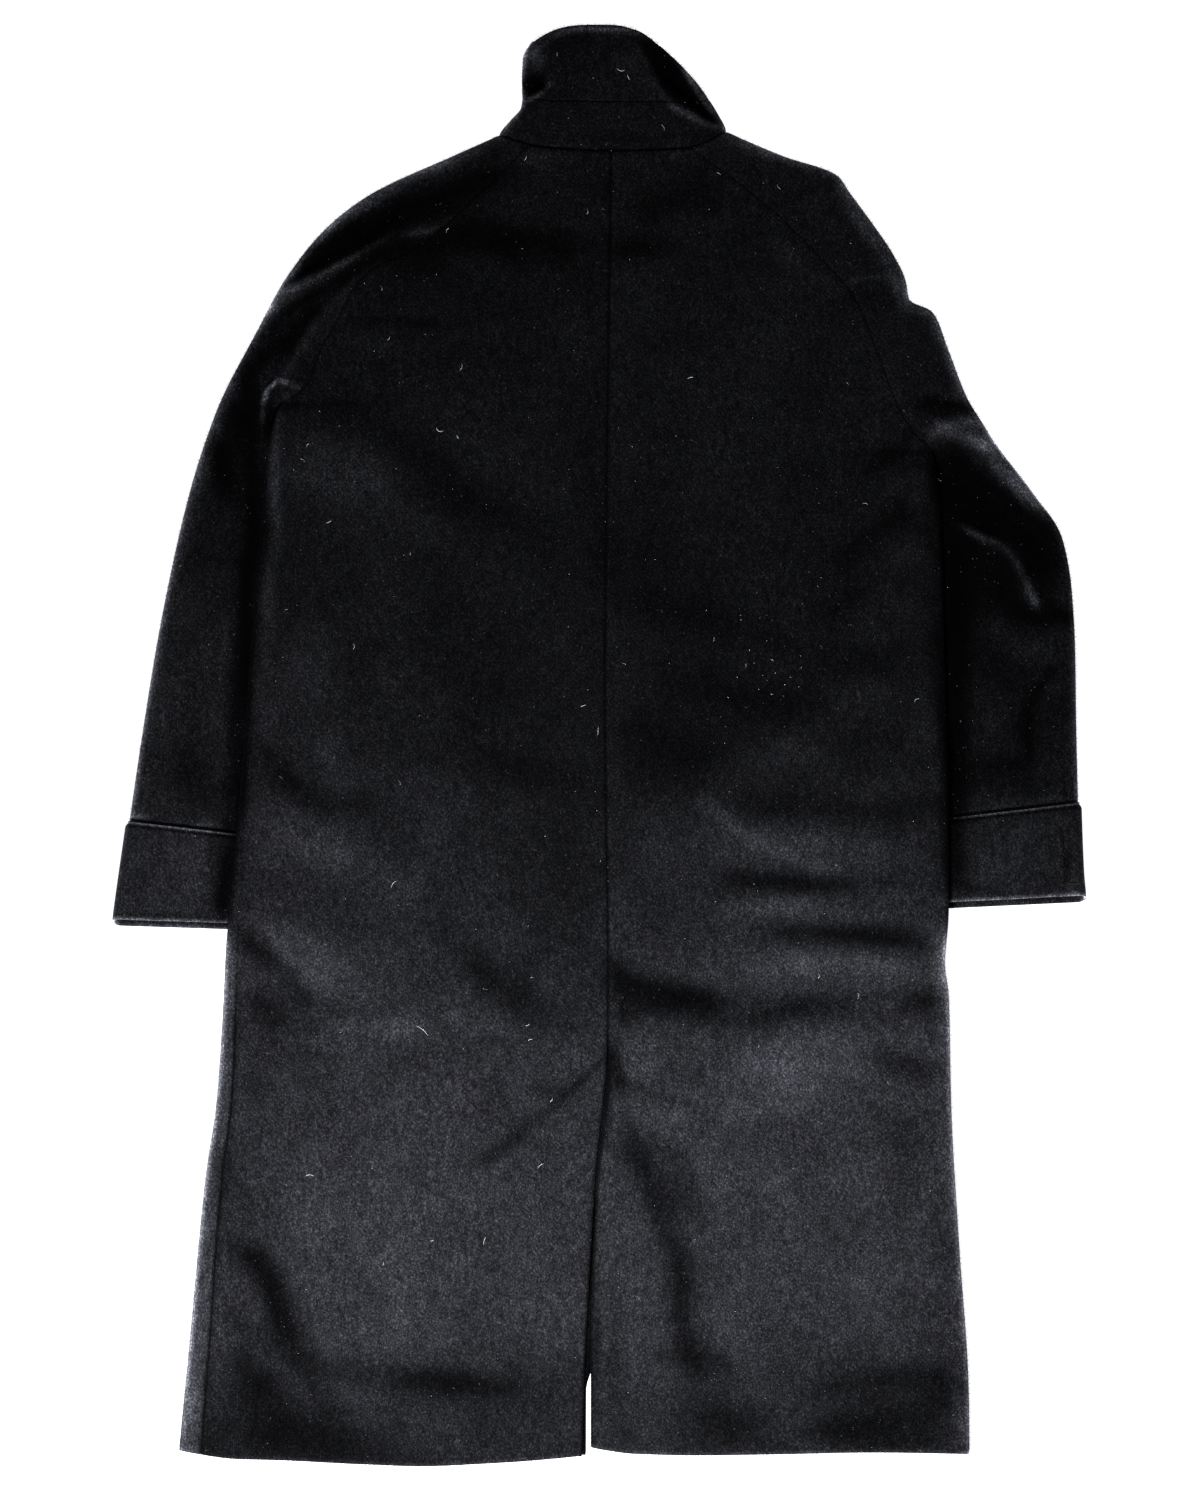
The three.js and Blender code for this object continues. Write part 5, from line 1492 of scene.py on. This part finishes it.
def add_fuzz():
    rng = np.random.default_rng(FUZZ_SEED)
    lines = []
    for points, ways in outline_runs():
        gone = np.concatenate([[0], np.cumsum(np.hypot(*np.diff(points, axis=0).T))])
        at = np.arange(0, gone[-1], FUZZ_STEP)
        at = at + rng.uniform(-FUZZ_STEP, FUZZ_STEP, len(at))
        root, way = (
            np.stack([np.interp(at, gone, values[:, i]) for i in (0, 1)], axis=1) for values in (points, ways)
        )
        lean = rng.uniform(-FUZZ_LEAN, FUZZ_LEAN, len(at))
        cos, sin = np.cos(lean), np.sin(lean)
        turned = np.stack([way[:, 0] * cos - way[:, 1] * sin, way[:, 0] * sin + way[:, 1] * cos], axis=1)
        reach = CLOTH / 2 + rng.uniform(*FUZZ_REACH, len(at))
        low = rng.uniform(*FUZZ_ROOT, len(at))
        high = np.clip(low + rng.uniform(-FUZZ_LIFT, FUZZ_LIFT, len(at)), FUZZ_LEAST, None)
        start = np.column_stack([root, low])
        end = np.column_stack([root + turned * reach[:, None], high])
        lines.extend(np.stack([a, (a + b) / 2, b]) for a, b in zip(start, end))
    radii = [FUZZ_RADIUS] * len(lines)
    joined_tubes("edge_fibres", lines, radii, fibre_material("edge_fibre", FUZZ_COLOUR))


add_lint()
add_fuzz()

# Floor, light and camera, which sees this height of the floor around this centre
PHOTO_HEIGHT = 1275.0
PHOTO_CENTRE = (1.7 + CENTRE_X, -3.4 + CENTRE_Y)
CAMERA_HEIGHT = 2.6
SENSOR = 36.0
FLOOR_HALF = 20.0
FLOOR_DROP = 0.0004


def floor():
    size = FLOOR_HALF
    mesh = bpy.data.meshes.new("floor")
    corners = [(-size, -size, 0), (size, -size, 0), (size, size, 0), (-size, size, 0)]
    mesh.from_pydata(corners, [], [(0, 1, 2, 3)])
    plane = bpy.data.objects.new("floor", mesh)
    plane.location.z = -FLOOR_DROP
    bpy.context.collection.objects.link(plane)
    material, _, _, shader = node_material("floor")
    shader.inputs["Base Color"].default_value = (0.86, 0.86, 0.86, 1)
    shader.inputs["Roughness"].default_value = 0.9
    shader.inputs["Emission Color"].default_value = (1, 1, 1, 1)
    shader.inputs["Emission Strength"].default_value = 0.95
    mesh.materials.append(material)
    plane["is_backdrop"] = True


def hang(data, location, target):
    """Hang a lamp at a place, turned towards its target."""
    lamp = bpy.data.objects.new(data.name, data)
    lamp.location = location
    way = Vector(target) - Vector(location)
    lamp.rotation_euler = way.to_track_quat("-Z", "Y").to_euler()
    bpy.context.collection.objects.link(lamp)


def lights():
    key = bpy.data.lights.new("key", "SPOT")
    key.energy = 330
    key.spot_size = math.radians(44)
    key.spot_blend = 1.0
    key.shadow_soft_size = 0.16
    hang(key, (-0.28, -1.7, 1.05), (-0.02, -0.30, 0.0))
    fill = bpy.data.lights.new("fill", "AREA")
    fill.energy = 5
    fill.size = 2.0
    hang(fill, (0.2, 0.4, 2.4), (0.0, 0.0, 0.0))


def camera():
    data = bpy.data.cameras.new("camera")
    data.sensor_fit = "VERTICAL"
    data.sensor_height = SENSOR
    data.lens = SENSOR * CAMERA_HEIGHT / (PHOTO_HEIGHT * MM)
    view = bpy.data.objects.new("camera", data)
    view.location = (PHOTO_CENTRE[0] * MM, PHOTO_CENTRE[1] * MM, CAMERA_HEIGHT)
    bpy.context.collection.objects.link(view)
    bpy.context.scene.camera = view


floor()
lights()
camera()
world = bpy.data.worlds.new("world")
world.use_nodes = True
world.node_tree.nodes["Background"].inputs["Color"].default_value = (1, 1, 1, 1)
world.node_tree.nodes["Background"].inputs["Strength"].default_value = 0.1
bpy.context.scene.world = world
bpy.context.scene.view_settings.view_transform = "Standard"

numbers = lambda box: [[float(value) for value in corner] for corner in box]
{"cad": numbers(cad_bounds), "visual": numbers(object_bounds())}
